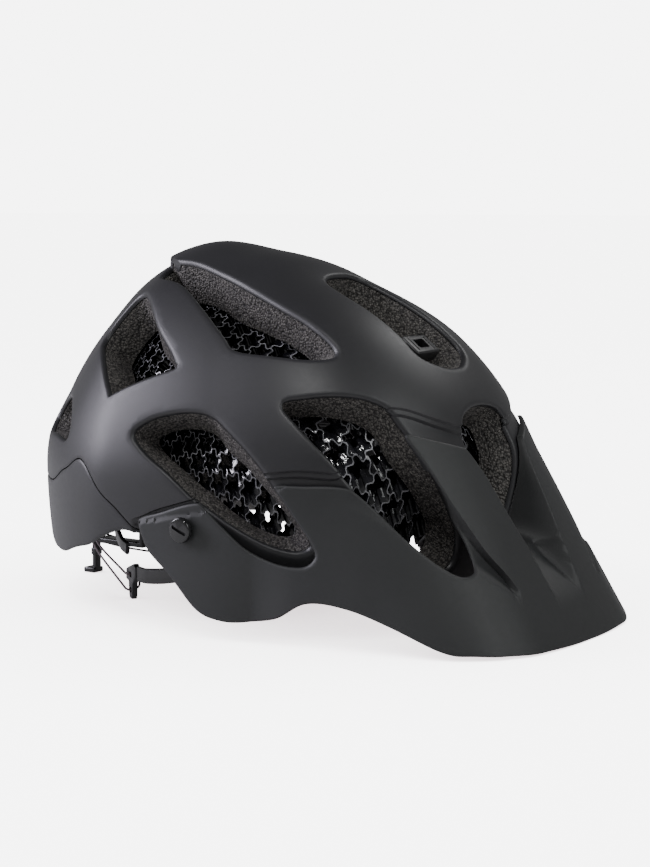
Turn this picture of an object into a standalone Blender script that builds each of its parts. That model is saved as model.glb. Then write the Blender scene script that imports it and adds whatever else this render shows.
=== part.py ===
"""Trail cycling helmet with visor, in metres, +Z up.

The helmet stands as it does on a table, resting on the visor's front edge and on the feet of
its rear fit system.  The wearer looks along -Y and the wearer's right side is -X.
The head form is a smooth egg given by one radius function around a centre point, and every
shell, liner and insert is an outline on that form, thickened inwards.
"""
import math

import bmesh
import bpy
import numpy as np
from mathutils import Matrix, Vector
from mathutils.geometry import delaunay_2d_cdt

for old in list(bpy.data.objects):
    bpy.data.objects.remove(old, do_unlink=True)

MM = 0.001

# Head form: centre point and half axes, in millimetres
CENTRE_Y = 38.0
CENTRE_Z = 70.1
HALF_WIDTH = 106.0
FRONT_REACH = 167.0
REAR_REACH = 110.0
TOP_REACH = 120.0
LOW_REACH = 280.0
FRONT_POWER = 2.5
REAR_POWER = 1.66
DOME_POWER = 1.62

# Layers, measured inwards from the head form
SHELL_THICKNESS = 1.4
LAYER_GAP = 0.4
CELL_GAP = 1.3
LINER_DEPTH = 19.5
CELL_THICKNESS = 12.0
VISOR_THICKNESS = 2.2
VISOR_STANDOFF = 3.0
RECESS_DEPTH = 2.6
PIVOT = (0.0, -11.0, 51.5)

STAND_SHIFT = 14.75

GRID = 8.0
CENTRE = Vector((0.0, CENTRE_Y, CENTRE_Z))


def material(name, colour, roughness, metallic=0.0):
    made = bpy.data.materials.new(name)
    made.use_nodes = True
    shader = made.node_tree.nodes["Principled BSDF"]
    shader.inputs["Base Color"].default_value = (*colour, 1.0)
    shader.inputs["Roughness"].default_value = roughness
    shader.inputs["Metallic"].default_value = metallic
    made.diffuse_color = (*colour, 1.0)
    return made


# ---------------------------------------------------------------- head form

def smooth_curve(x, knots, values):
    """Monotone cubic through a few knots, flat beyond both ends."""
    knots = np.asarray(knots, float)
    values = np.asarray(values, float)
    x = np.clip(np.asarray(x, float), knots[0], knots[-1])
    step = np.diff(knots)
    slope = np.diff(values) / step
    tangent = np.zeros(len(knots))
    for i in range(1, len(knots) - 1):
        if slope[i - 1] * slope[i] > 0:
            tangent[i] = 2 * slope[i - 1] * slope[i] / (slope[i - 1] + slope[i])
    k = np.clip(np.searchsorted(knots, x, side="right") - 1, 0, len(step) - 1)
    t = (x - knots[k]) / step[k]
    h = step[k]
    return (
        values[k] * (1 + 2 * t) * (1 - t) ** 2
        + tangent[k] * h * t * (1 - t) ** 2
        + values[k + 1] * t * t * (3 - 2 * t)
        + tangent[k + 1] * h * t * t * (t - 1)
    )


def smooth_step(low, high, x):
    t = np.clip((x - low) / (high - low), 0.0, 1.0)
    return t * t * (3 - 2 * t)


def rounded(t):
    """Absolute value with a rounded tip."""
    return np.sqrt(t * t + 0.0011**2)


def fullness(around, down):
    """What the form gains at the brow, and loses at the crown and the rear upper corners."""
    side = np.abs(around)
    brow = 4.6 * smooth_step(60, 25, side) * smooth_step(36, 62, down) * smooth_step(106, 82, down)
    crown = 2.2 * smooth_step(32, 8, down)
    rear = 3.6 * smooth_step(105, 140, side) * smooth_step(14, 44, down) * smooth_step(81, 66, down)
    return brow - crown - rear


def form_radius(around, down):
    """Radius of the head form. around is 0 at the front, down is 0 at the crown, in degrees."""
    a = np.radians(around)
    d = np.radians(down)
    x = np.sin(d) * np.sin(a)
    y = -np.sin(d) * np.cos(a)
    z = np.cos(d)
    front = 0.5 - 0.5 * np.tanh(y / 0.12)
    power = REAR_POWER + (FRONT_POWER - REAR_POWER) * front
    reach = np.where(y < 0, FRONT_REACH, REAR_REACH)
    ring = (rounded(x / HALF_WIDTH) ** power + rounded(y / reach) ** power) ** (1 / power)
    rise = rounded(np.where(z > 0, z / TOP_REACH, z / LOW_REACH))
    return (ring**DOME_POWER + rise**DOME_POWER) ** (-1 / DOME_POWER) + fullness(around, down)


def recess(around, down):
    """Depth of the pocket in the shell that the visor lies in."""
    a = np.abs(around)
    edge = smooth_curve(
        a, [0, 7, 20, 27, 34, 45, 61, 72, 84], [78.5, 78.5, 74.5, 80, 84.5, 85, 89.5, 92, 95]
    )
    fade = 1 - smooth_step(79.5, 81.5, a)
    return RECESS_DEPTH * smooth_step(edge - 0.8, edge + 0.8, down) * fade


def shell_radius(around, down):
    return form_radius(around, down) - recess(around, down)


def visor_radius(around, down):
    """The visor follows the head form at the sides and runs straight to its rim in front."""
    a = np.abs(around)
    top = smooth_curve(a, [0, 20, 35, 50, 90], [78, 79, 84, 92, 100])
    first = form_radius(around, top) + VISOR_STANDOFF
    first_out = first * np.sin(np.radians(top))
    first_up = first * np.cos(np.radians(top))
    rim_out = smooth_curve(
        a, [0, 11, 17, 22, 26, 31, 36, 42, 50, 90],
        [210, 211, 207, 198, 187, 171, 157, 144, 129, 108],
    )
    rim_up = smooth_curve(a, [0, 22, 36, 50, 90], [-69, -67, -60, -58, -58])
    run_out = rim_out - first_out
    run_up = rim_up - first_up
    d = np.radians(down)
    across = np.sin(d) * run_up - np.cos(d) * run_out
    across = np.where(np.abs(across) < 1e-6, 1e-6, across)
    line = (first_out * run_up - first_up * run_out) / across
    line = np.where((line > 0) & (down > top), line, 0.0)
    base = form_radius(around, down) + VISOR_STANDOFF
    blend = 4.0
    near = np.abs(line - base)
    bump = np.where(near < blend, (blend - near) ** 2 / (4 * blend), 0.0)
    return np.maximum(line, base) + bump - visor_hollows(a, down)


def visor_hollows(a, down):
    """Centre trough below the middle vent, and a tapering pocket below each front vent."""
    trough = smooth_step(4.5, 2.5, a - 0.25 * (98 - down)) * smooth_step(94, 98, down)
    trough = trough * smooth_step(104.5, 103.0, down)
    pocket = smooth_step(6.0, 3.5, np.abs(a - 15.5 - 1.5 * (101.5 - down)))
    pocket = pocket * smooth_step(96, 99, down) * smooth_step(103.8, 101.5, down)
    return 5.0 * trough + 4.0 * pocket


def place(around, down, radius):
    """Millimetre points on the form."""
    a = np.radians(around)
    d = np.radians(down)
    return np.stack(
        [
            radius * np.sin(d) * np.sin(a),
            CENTRE_Y - radius * np.sin(d) * np.cos(a),
            CENTRE_Z + radius * np.cos(d),
        ],
        axis=-1,
    )


def to_map(around, down):
    """Flat map of the form: distance from the origin is the angle down from the crown."""
    a = np.radians(around)
    return np.stack([down * np.sin(a), -down * np.cos(a)], axis=-1)


def from_map(points):
    down = np.hypot(points[:, 0], points[:, 1])
    around = np.degrees(np.arctan2(points[:, 0], -points[:, 1]))
    return around, down


# ---------------------------------------------------------------- outlines, (around, down)

CROWN_SLOT = [
    (0, 34.5), (7, 35), (12.5, 37.5), (12.5, 43), (10.5, 52), (9.2, 59), (8.3, 64), (4, 66.5), (0, 67),
]
MIDDLE_VENT = [(0, 75), (4.5, 75.8), (7, 78.5), (7.3, 85), (6, 92), (4, 97.5), (0, 99)]
REAR_TOP_VENT = [
    (125, 18), (108, 19.5), (75, 21), (51, 30), (37, 43), (31, 51), (27, 59.5),
    (35, 59), (52, 54), (57, 49), (67, 39.5), (85, 28), (112, 23.5),
]
UPPER_REAR_VENT = [
    (117, 31.6), (104, 32.6), (85, 44), (73, 55), (73.5, 57.8), (93, 64.6),
    (96.5, 63.8), (111, 52.7), (121, 47.6), (123, 40.8),
]
SMALL_REAR_VENT = [
    (123, 68.7), (113.5, 76), (117, 80.5), (140, 80.5), (151, 78), (150, 72.5), (136, 68),
]
SIDE_VENT = [
    (82, 76), (79, 73.6), (71, 71.4), (62, 70.8), (58, 72.6), (54, 75.5), (46, 85),
    (40, 94), (37.5, 99), (37.5, 102.5), (41, 104), (46, 103), (52, 100), (59, 94.7), (67, 88.5),
    (75, 81),
]
FRONT_VENT = [
    (41, 70.4), (34, 69.8), (26, 71.4), (21.5, 74.5), (19, 79), (16, 87), (12.3, 93),
    (10, 98), (9.7, 103), (13, 104.5), (20, 101), (26, 94.5), (31, 87), (35, 80),
]
# Lower edge of the shell, and the chevron line that parts the lower rear shell
LOWER_EDGE = [
    (0, 110), (20, 110), (35, 110), (50, 112.5), (60, 112.5), (68, 109.5), (74, 106.5),
    (83, 102.6), (92, 105), (101, 109), (115, 112.8), (125, 113.6), (135, 112.4), (155, 112),
    (180, 112),
]
CHEVRON = [
    (73.5, 106.8), (81, 101.6), (87, 96.8), (93, 92.6), (102, 84.8), (112, 88.5), (128, 93.6),
    (155, 95), (180, 95.5),
]
VISOR_EDGE = [
    (0, 98.6), (4.5, 98), (6.2, 93.5), (7.3, 88), (9.5, 82.6), (14.5, 80.9), (20.5, 78.6), (19.8, 82),
    (18, 86.9), (16.8, 91.9), (15.8, 97), (16.5, 99.8), (19, 100.6), (22, 99), (25, 96.2), (28, 92.2),
    (32, 87.4), (39, 87.3), (45, 87.6), (43.6, 89.6), (41, 94), (38.8, 98), (38.6, 100.8), (40.5, 102.6),
    (44.5, 102.6), (50, 100.9), (54, 98.2), (59, 94), (61.5, 92.5), (72, 95.1), (77, 96.9), (78, 98.5),
    (75, 105.5), (69, 109.7), (62, 115), (56, 116), (50, 115), (45, 112.7), (40, 108.6), (34, 107.5),
    (29, 108), (24, 109), (20, 108.6), (13, 108.2), (6, 108.3), (0, 108.4),
]


def mirrored(outline):
    return [(-a, d) for a, d in reversed(outline)]


def closed_half(outline):
    """A half outline that starts and ends on the middle line, completed on the other side."""
    return outline + [(-a, d) for a, d in reversed(outline[1:-1])]


def resample(points, spacing, closed=True):
    """Catmull-Rom curve through the map points, at an even spacing."""
    count = len(points)
    dense = []
    spans = count if closed else count - 1
    for i in range(spans):
        if closed:
            p = [points[(i + k) % count] for k in (-1, 0, 1, 2)]
        else:
            p = [points[min(max(i + k, 0), count - 1)] for k in (-1, 0, 1, 2)]
        for s in range(8):
            t = s / 8
            dense.append(
                0.5 * (2 * p[1] + (p[2] - p[0]) * t + (2 * p[0] - 5 * p[1] + 4 * p[2] - p[3]) * t * t
                       + (3 * p[1] - p[0] - 3 * p[2] + p[3]) * t**3)
            )
    if not closed:
        dense.append(points[-1])
    dense = np.array(dense)
    loop = np.vstack([dense, dense[:1]]) if closed else dense
    length = np.concatenate([[0], np.cumsum(np.linalg.norm(np.diff(loop, axis=0), axis=1))])
    steps = max(int(round(length[-1] / spacing)), 4)
    at = np.linspace(0, length[-1], steps + 1)
    even = np.stack([np.interp(at, length, loop[:, k]) for k in (0, 1)], axis=-1)
    return even[:-1] if closed else even


def map_loop(outline, spacing):
    a, d = np.array(outline, float).T
    return resample(to_map(a, d), spacing)


def inside(points, loop):
    """Even-odd test of map points against a loop."""
    result = np.zeros(len(points), bool)
    for p, q in zip(loop, np.roll(loop, -1, axis=0)):
        crosses = (p[1] > points[:, 1]) != (q[1] > points[:, 1])
        with np.errstate(divide="ignore", invalid="ignore"):
            at = p[0] + (points[:, 1] - p[1]) * (q[0] - p[0]) / (q[1] - p[1])
        result ^= crosses & (points[:, 0] < at)
    return result


def edge_distance(points, loop):
    nearest = np.full(len(points), 1e9)
    for p, q in zip(loop, np.roll(loop, -1, axis=0)):
        along = q - p
        t = np.clip(((points - p) @ along) / max(along @ along, 1e-12), 0, 1)
        nearest = np.minimum(nearest, np.linalg.norm(points - p - t[:, None] * along, axis=1))
    return nearest


def hexagon_grid(size, spacing):
    rows = int(size / (spacing * 0.866)) + 1
    columns = int(size / spacing) + 1
    return np.array([
        ((i + 0.5 * (j % 2)) * spacing, j * spacing * 0.866)
        for j in range(-rows, rows + 1)
        for i in range(-columns, columns + 1)
    ])


def triangulate(outer, holes, spacing, extra_lines=()):
    """Map points and triangles of a region with holes."""
    grid = hexagon_grid(125, spacing)
    grid = grid[inside(grid, outer)]
    grid = grid[edge_distance(grid, outer) > 0.5 * spacing]
    for hole in holes:
        grid = grid[~inside(grid, hole)]
        grid = grid[edge_distance(grid, hole) > 0.5 * spacing]
    for line in extra_lines:
        double = np.vstack([line, line[::-1]])
        grid = grid[edge_distance(grid, double) > 0.5 * spacing]
    points = []
    edges = []
    for loop in [outer, *holes]:
        start = len(points)
        points.extend(loop)
        edges += [(start + i, start + (i + 1) % len(loop)) for i in range(len(loop))]
    for line in extra_lines:
        start = len(points)
        points.extend(line)
        edges += [(start + i, start + i + 1) for i in range(len(line) - 1)]
    points.extend(grid)
    found = delaunay_2d_cdt([Vector(p) for p in points], edges, [], 0, 1e-5)
    flat = np.array([tuple(p) for p in found[0]])
    faces = np.array([tuple(f) for f in found[2]])
    middle = flat[faces].mean(axis=1)
    keep = inside(middle, outer)
    for hole in holes:
        keep &= ~inside(middle, hole)
    return flat, faces[keep]


def add_object(name, points, faces, look, smooth=30.0):
    mesh = bpy.data.meshes.new(name)
    mesh.from_pydata([tuple(p) for p in points], [], [tuple(int(i) for i in f) for f in faces])
    mesh.update()
    made = bpy.data.objects.new(name, mesh)
    bpy.context.scene.collection.objects.link(made)
    mesh.materials.append(look)
    tidy = bmesh.new()
    tidy.from_mesh(mesh)
    bmesh.ops.remove_doubles(tidy, verts=tidy.verts, dist=1e-6)
    bmesh.ops.recalc_face_normals(tidy, faces=tidy.faces)
    tidy.to_mesh(mesh)
    tidy.free()
    mesh.shade_smooth()
    mesh.set_sharp_from_angle(angle=math.radians(smooth))
    return made


def thick_sheet(name, flat, faces, outer_radius, inner_radius, look, inner_flat=None):
    """A closed solid between two radius functions over a triangulated map region."""
    used = np.unique(faces)
    renumber = {old: new for new, old in enumerate(used)}
    faces = np.array([[renumber[i] for i in f] for f in faces])
    top_map = flat[used]
    low_map = top_map if inner_flat is None else inner_flat[used]
    around, down = from_map(top_map)
    outer = place(around, down, outer_radius(around, down))
    around, down = from_map(low_map)
    inner = place(around, down, inner_radius(around, down))
    count = len(used)
    directed = {(f[i], f[(i + 1) % 3]) for f in faces for i in range(3)}
    rim = [(p, q) for p, q in directed if (q, p) not in directed]
    rim.sort()
    walls = [(q, p, p + count, q + count) for p, q in rim]
    all_faces = [tuple(f) for f in faces] + [tuple(f[::-1] + count) for f in faces] + walls
    return add_object(name, np.vstack([outer, inner]) * MM, all_faces, look)


# ---------------------------------------------------------------- materials

SHELL_BLACK = material("shell_black", (0.035, 0.035, 0.038), 0.55)
VISOR_BLACK = material("visor_black", (0.045, 0.047, 0.05), 0.6)
FOAM_GREY = material("foam_grey", (0.03, 0.028, 0.027), 0.8)
CELL_BLACK = material("cell_black", (0.008, 0.008, 0.009), 0.18)
NYLON_BLACK = material("nylon_black", (0.02, 0.02, 0.021), 0.4)
GLOSS_BLACK = material("gloss_black", (0.01, 0.01, 0.011), 0.2)
PAD_BLACK = material("pad_black", (0.02, 0.02, 0.022), 0.95)
WEBBING = material("webbing_black", (0.018, 0.018, 0.02), 0.85)
LACE = material("lace_dark", (0.03, 0.018, 0.022), 0.4)
STEEL = material("steel", (0.55, 0.55, 0.57), 0.3, 1.0)
RUBBER = material("rubber_black", (0.015, 0.015, 0.016), 0.7)

# ---------------------------------------------------------------- shells, liner and cells

sides = [REAR_TOP_VENT, UPPER_REAR_VENT, SMALL_REAR_VENT, SIDE_VENT, FRONT_VENT]
vents = [closed_half(CROWN_SLOT), closed_half(MIDDLE_VENT)] + sides + [mirrored(v) for v in sides]
SPACING = 5.2
vent_loops = [map_loop(v, SPACING) for v in vents]
lower_loop = map_loop(closed_half(LOWER_EDGE), 8.0)
right_line = to_map(*np.array(CHEVRON, float).T)
chevron_line = resample(right_line, 7.0, closed=False)
# The groove starts on the lower edge, so both ends are moved onto it
start = np.argmin(np.linalg.norm(lower_loop - chevron_line[0], axis=1))
lower_loop[start] = chevron_line[0]
other = chevron_line * [-1, 1]
twin = np.argmin(np.linalg.norm(lower_loop - other[0], axis=1))
lower_loop[twin] = other[0]
whole_line = np.vstack([chevron_line, other[::-1][1:]])

form_flat, form_faces = triangulate(lower_loop, vent_loops, GRID, [whole_line])
lower_region = np.vstack([whole_line, 1.35 * whole_line[::-1]])
middles = form_flat[form_faces].mean(axis=1)
is_lower = inside(middles, lower_region)

line_distance = np.min(
    np.linalg.norm(form_flat[:, None, :] - whole_line[None, :, :], axis=2), axis=1
)
on_line = line_distance < 1e-3
groove = 0.22 / np.maximum(np.hypot(*form_flat.T), 1e-6)
upper_map = form_flat * (1 - np.where(on_line, groove, 0.0))[:, None]
lower_map = form_flat * (1 + np.where(on_line, groove, 0.0))[:, None]

shell = thick_sheet(
    "outer_shell", upper_map, form_faces[~is_lower], shell_radius,
    lambda a, d: shell_radius(a, d) - SHELL_THICKNESS, SHELL_BLACK,
)
lower_shell = thick_sheet(
    "lower_rear_shell", lower_map, form_faces[is_lower], shell_radius,
    lambda a, d: shell_radius(a, d) - SHELL_THICKNESS, SHELL_BLACK,
)


def liner_outer(a, d):
    return shell_radius(a, d) - SHELL_THICKNESS - LAYER_GAP


def liner_inner(a, d):
    rear = smooth_step(110, 150, np.abs(a)) * smooth_step(40, 70, d)
    return form_radius(a, d) - LINER_DEPTH - 8.0 * rear


def cell_outer(a, d):
    return liner_inner(a, d) - CELL_GAP


def cell_inner(a, d):
    return liner_inner(a, d) - CELL_GAP - CELL_THICKNESS


liner_inner_map = form_flat.copy()
for loop in vent_loops:
    middle = loop.mean(axis=0)
    for point in loop:
        hit = np.linalg.norm(form_flat - point, axis=1) < 1e-3
        reach = middle - point
        liner_inner_map[hit] = point + reach * min(2.6 / np.linalg.norm(reach), 0.35)
liner = thick_sheet(
    "foam_liner", form_flat, form_faces, liner_outer, liner_inner, FOAM_GREY, liner_inner_map
)

CELL_EDGE = [
    (0, 101), (25, 101), (45, 102), (60, 101.5), (75, 97), (85, 95.5), (97, 97), (115, 99),
    (135, 94), (155, 90), (180, 89),
]
cell_loop = map_loop(closed_half(CELL_EDGE), 9.0)
cell_flat, cell_faces = triangulate(cell_loop, [], 10.5)
cells = thick_sheet("cell_insert", cell_flat, cell_faces, cell_outer, cell_inner, CELL_BLACK)

# ---------------------------------------------------------------- visor

visor_loop = map_loop(closed_half(VISOR_EDGE), 2.9)
visor_flat, visor_faces = triangulate(visor_loop, [], 5.2)
visor = thick_sheet(
    "visor", visor_flat, visor_faces, visor_radius,
    lambda a, d: visor_radius(a, d) - VISOR_THICKNESS, VISOR_BLACK,
)

# ---------------------------------------------------------------- helpers for the fittings

def side_x(radius_function, y, z):
    """Distance from the middle plane to a form surface, beside the point y, z."""
    low, high = 60.0, 140.0
    for _ in range(40):
        x = (low + high) / 2
        point = Vector((-x, y, z)) - CENTRE
        around = math.degrees(math.atan2(point.x, -point.y))
        down = math.degrees(math.acos(point.z / point.length))
        if point.length < float(radius_function(np.array([around]), np.array([down]))[0]):
            low = x
        else:
            high = x
    return low


def form_frame(around, down, radius):
    """Matrix in millimetres: Z points out of the form, X runs around it, Y runs up it."""
    origin, beside, above = (
        Vector(place(np.array([a]), np.array([d]), radius(np.array([a]), np.array([d])))[0])
        for a, d in ((around, down), (around + 1, down), (around, down - 1))
    )
    along = (beside - origin).normalized()
    out = along.cross(above - origin).normalized()
    up = out.cross(along)
    frame = Matrix((along, up, out)).transposed().to_4x4()
    frame.translation = origin
    return frame


def finish(made, origin=None):
    """Puts the object's origin on a point given in millimetres."""
    if origin is not None:
        shift = Vector(origin) * MM
        made.data.transform(Matrix.Translation(-shift))
        made.location = shift
    return made


def mesh_object(name, build, look, frame=None, origin=None, smooth=30.0):
    tidy = bmesh.new()
    build(tidy)
    if frame is not None:
        bmesh.ops.transform(tidy, matrix=frame, verts=tidy.verts)
    bmesh.ops.scale(tidy, vec=(MM, MM, MM), verts=tidy.verts)
    bmesh.ops.recalc_face_normals(tidy, faces=tidy.faces)
    mesh = bpy.data.meshes.new(name)
    tidy.to_mesh(mesh)
    tidy.free()
    mesh.materials.append(look)
    mesh.shade_smooth()
    mesh.set_sharp_from_angle(angle=math.radians(smooth))
    made = bpy.data.objects.new(name, mesh)
    bpy.context.scene.collection.objects.link(made)
    return finish(made, origin)


def box(name, centre, size, look, frame=None, bevel=0.0, origin=None):
    def build(tidy):
        bmesh.ops.create_cube(tidy, size=1.0)
        bmesh.ops.scale(tidy, vec=size, verts=tidy.verts)
        bmesh.ops.translate(tidy, vec=centre, verts=tidy.verts)
        if bevel:
            bmesh.ops.bevel(
                tidy, geom=list(tidy.edges), offset=bevel, segments=1, affect="EDGES", profile=0.5
            )
    return mesh_object(name, build, look, frame, origin)


def cylinder(name, start, end, radius, look, sides=24, bevel=0.0, origin=None):
    start = Vector(start)
    end = Vector(end)
    frame = (end - start).to_track_quat("Z", "Y").to_matrix().to_4x4()
    frame.translation = (start + end) / 2

    def build(tidy):
        bmesh.ops.create_cone(
            tidy, cap_ends=True, segments=sides, radius1=radius, radius2=radius, depth=(end - start).length
        )
        if bevel:
            top = [e for e in tidy.edges if all(v.co.z > 0 for v in e.verts)]
            bmesh.ops.bevel(tidy, geom=top, offset=bevel, segments=2, affect="EDGES", profile=0.5)
    return mesh_object(name, build, look, frame, origin)


def turned(name, profile, start, direction, look, sides=24, origin=None):
    """A solid of revolution; profile is (radius, distance along the axis), closed on the axis."""
    frame = Vector(direction).to_track_quat("Z", "Y").to_matrix().to_4x4()
    frame.translation = Vector(start)

    def build(tidy):
        rings = []
        for radius, height in profile:
            if radius < 1e-6:
                rings.append([tidy.verts.new((0, 0, height))])
                continue
            rings.append([
                tidy.verts.new((radius * math.cos(t), radius * math.sin(t), height))
                for t in (2 * math.pi * k / sides for k in range(sides))
            ])
        for low, high in zip(rings, rings[1:]):
            for k in range(sides):
                n = (k + 1) % sides
                corners = [low[k % len(low)], low[n % len(low)], high[n % len(high)], high[k % len(high)]]
                unique = list(dict.fromkeys(corners))
                if len(unique) > 2:
                    tidy.faces.new(unique)
    return mesh_object(name, build, look, frame, origin)


def plate(name, outline, thickness, look, frame, origin=None):
    """An outline in the frame's XY plane, thickened along its Z."""
    def build(tidy):
        face = tidy.faces.new([tidy.verts.new((x, y, -thickness / 2)) for x, y in outline])
        grown = bmesh.ops.extrude_face_region(tidy, geom=[face])
        moved = [v for v in grown["geom"] if isinstance(v, bmesh.types.BMVert)]
        bmesh.ops.translate(tidy, vec=(0, 0, thickness), verts=moved)
    return mesh_object(name, build, look, frame, origin)


def curve_points(points, steps):
    """Catmull-Rom curve through the route's points."""
    p = [Vector(q) for q in points]
    p = [2 * p[0] - p[1], *p, 2 * p[-1] - p[-2]]
    out = []
    for i in range(1, len(p) - 2):
        for s in range(steps):
            t = s / steps
            out.append(
                0.5 * (2 * p[i] + (p[i + 1] - p[i - 1]) * t
                       + (2 * p[i - 1] - 5 * p[i] + 4 * p[i + 1] - p[i + 2]) * t * t
                       + (3 * p[i] - p[i - 1] - 3 * p[i + 1] + p[i + 2]) * t**3)
            )
    return out + [p[-2]]


def ribbon(name, route, wide_start, wide_end, width, thickness, look, steps=4, origin=None):
    """A flat band along a route, its width turning evenly from one direction to another."""
    line = curve_points(route, steps)

    def build(tidy):
        rings = []
        for i, point in enumerate(line):
            ahead = (line[min(i + 1, len(line) - 1)] - line[max(i - 1, 0)]).normalized()
            wide = Vector(wide_start).lerp(Vector(wide_end), i / (len(line) - 1))
            wide = (wide - ahead * wide.dot(ahead)).normalized()
            thin = ahead.cross(wide)
            rings.append([
                tidy.verts.new(point + wide * (w * width / 2) + thin * (h * thickness / 2))
                for w, h in ((-1, -1), (1, -1), (1, 1), (-1, 1))
            ])
        for low, high in zip(rings, rings[1:]):
            for k in range(4):
                tidy.faces.new((low[k], low[(k + 1) % 4], high[(k + 1) % 4], high[k]))
        tidy.faces.new(rings[0])
        tidy.faces.new(rings[-1])
    return mesh_object(name, build, look, None, origin)


def cut(made, cutter):
    cutter.hide_render = True
    cutter.display_type = "WIRE"
    modifier = made.modifiers.new("cut", "BOOLEAN")
    modifier.operation = "DIFFERENCE"
    modifier.solver = "EXACT"
    modifier.object = cutter


def tube(name, route, radius, look, steps=3):
    curve = bpy.data.curves.new(name, "CURVE")
    curve.dimensions = "3D"
    curve.bevel_depth = radius * MM
    curve.bevel_resolution = 2
    curve.use_fill_caps = True
    line = curve_points(route, steps)
    spline = curve.splines.new("POLY")
    spline.points.add(len(line) - 1)
    for target, point in zip(spline.points, line):
        target.co = (*(point * MM), 1.0)
    curve.materials.append(look)
    made = bpy.data.objects.new(name, curve)
    bpy.context.scene.collection.objects.link(made)
    return made


# ---------------------------------------------------------------- visor screws and sockets

SLOT_TILT = math.radians(23)
shell_x = side_x(shell_radius, PIVOT[1], PIVOT[2])
visor_x = max(
    side_x(visor_radius, PIVOT[1] + 6 * math.cos(t), PIVOT[2] + 6 * math.sin(t))
    for t in np.linspace(0, 2 * math.pi, 12)
)
for side, label in ((-1, "right"), (1, "left")):
    def at(x):
        return (side * x, PIVOT[1], PIVOT[2])

    cut(visor, cylinder("cut_visor_" + label, at(90), at(125), 3.1, VISOR_BLACK, 16))
    cut(shell, cylinder("cut_shell_" + label, at(88), at(125), 6.3, VISOR_BLACK, 16))
    cut(liner, cylinder("cut_liner_" + label, at(shell_x - 9.5), at(125), 6.3, VISOR_BLACK, 16))
    turned(
        "visor_socket_" + label,
        [(2.7, 0), (5.9, 0), (5.9, 7.6), (2.7, 7.6), (2.7, 0)],
        at(shell_x - 9.0), (side, 0, 0), NYLON_BLACK, 20,
    )
    base = visor_x + 0.3
    neck = base - shell_x + 7.0
    screw = turned(
        "visor_screw_" + label,
        [(0, 0), (2.4, 0), (2.4, neck), (6.1, neck), (6.1, neck + 2.0), (5.4, neck + 3.0), (0, neck + 3.2)],
        at(shell_x - 7.0), (side, 0, 0), GLOSS_BLACK, 24, origin=at(visor_x),
    )
    slot_frame = Matrix.Translation(at(base + 3.2)) @ Matrix.Rotation(-SLOT_TILT, 4, "X").inverted()
    slot_cutter = box("cut_slot_" + label, (0, 0, 0), (3.0, 8.6, 1.7), GLOSS_BLACK, slot_frame)
    cut(screw, slot_cutter)
finish(visor, PIVOT)

# ---------------------------------------------------------------- accessory mount in the crown slot

mount_frame = form_frame(0, 60.2, lambda a, d: form_radius(a, d) - 6.5)
mount = box("accessory_mount_socket", (0, 0, -3.5), (21, 13, 7), NYLON_BLACK, mount_frame, 0.8)
cut(mount, box("cut_mount", (0, 0, -4), (9, 6, 12), NYLON_BLACK, mount_frame))

# ---------------------------------------------------------------- comfort pads


def pad(name, outline, thickness, gap=1.3):
    loop = map_loop(outline, 10.0)
    flat, faces = triangulate(loop, [], 11.0)
    return thick_sheet(
        name, flat, faces, lambda a, d: cell_inner(a, d) - gap,
        lambda a, d: cell_inner(a, d) - gap - thickness, PAD_BLACK,
    )


def map_patch(centre_around, centre_down, half_wide, half_tall, mirror=False):
    """A rounded patch on the form, its size in map degrees."""
    a = math.radians(centre_around)
    across = np.array([math.cos(a), math.sin(a)])
    along = np.array([math.sin(a), -math.cos(a)])
    centre = along * centre_down
    corners = [(-1, -0.7), (-0.7, -1), (0.7, -1), (1, -0.7), (1, 0.7), (0.7, 1), (-0.7, 1), (-1, 0.7)]
    points = np.array([centre + across * x * half_wide + along * y * half_tall for x, y in corners])
    around, down = from_map(points)
    return list(zip(-around if mirror else around, down))


brow_arc = [
    (-36, 84), (-18, 83), (0, 82.5), (18, 83), (36, 84), (38.5, 91), (35, 97.5),
    (18, 98), (0, 98), (-18, 98), (-35, 97.5), (-38.5, 91),
]
pad("brow_pad", brow_arc, 6.0, 2.2)
pad("crown_pad", map_patch(0, 0, 24, 36), 7.0)
pad("rear_pad", map_patch(180, 63, 26, 13), 6.0)
pad("side_pad_right", map_patch(-88, 70, 24, 14), 6.0)
pad("side_pad_left", map_patch(88, 70, 24, 14), 6.0)

# ---------------------------------------------------------------- fit system at the back

DIAL_HEIGHT = 47.0
housing = box("dial_housing", (0, 98.5, 46.0), (46, 5, 25), NYLON_BLACK, None, 1.2)
bridge = box("cut_bridge", (0, 115.8, 19.0), (9, 34.6, 3.0), NYLON_BLACK)
bridge_leg = box("cut_bridge_leg", (0, 99.4, 26.5), (9, 3.0, 18.0), NYLON_BLACK)
for extra in (bridge, bridge_leg):
    extra.hide_render = True
    extra.display_type = "WIRE"
    joined = housing.modifiers.new("join", "BOOLEAN")
    joined.operation = "UNION"
    joined.object = extra
cut(housing, cylinder("cut_housing_bore", (0, 90, DIAL_HEIGHT), (0, 110, DIAL_HEIGHT), 2.9, NYLON_BLACK, 20))
cut(housing, cylinder("cut_housing_recess", (0, 90, DIAL_HEIGHT), (0, 98.6, DIAL_HEIGHT), 7.0, NYLON_BLACK, 24))
turned(
    "dial_spool", [(0, 0), (6.6, 0), (6.6, 2.1), (2.6, 2.1), (2.6, 7.8), (0, 7.8)],
    (0, 96.2, DIAL_HEIGHT), (0, 1, 0), NYLON_BLACK, 20, origin=(0, 96.2, DIAL_HEIGHT),
)
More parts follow.
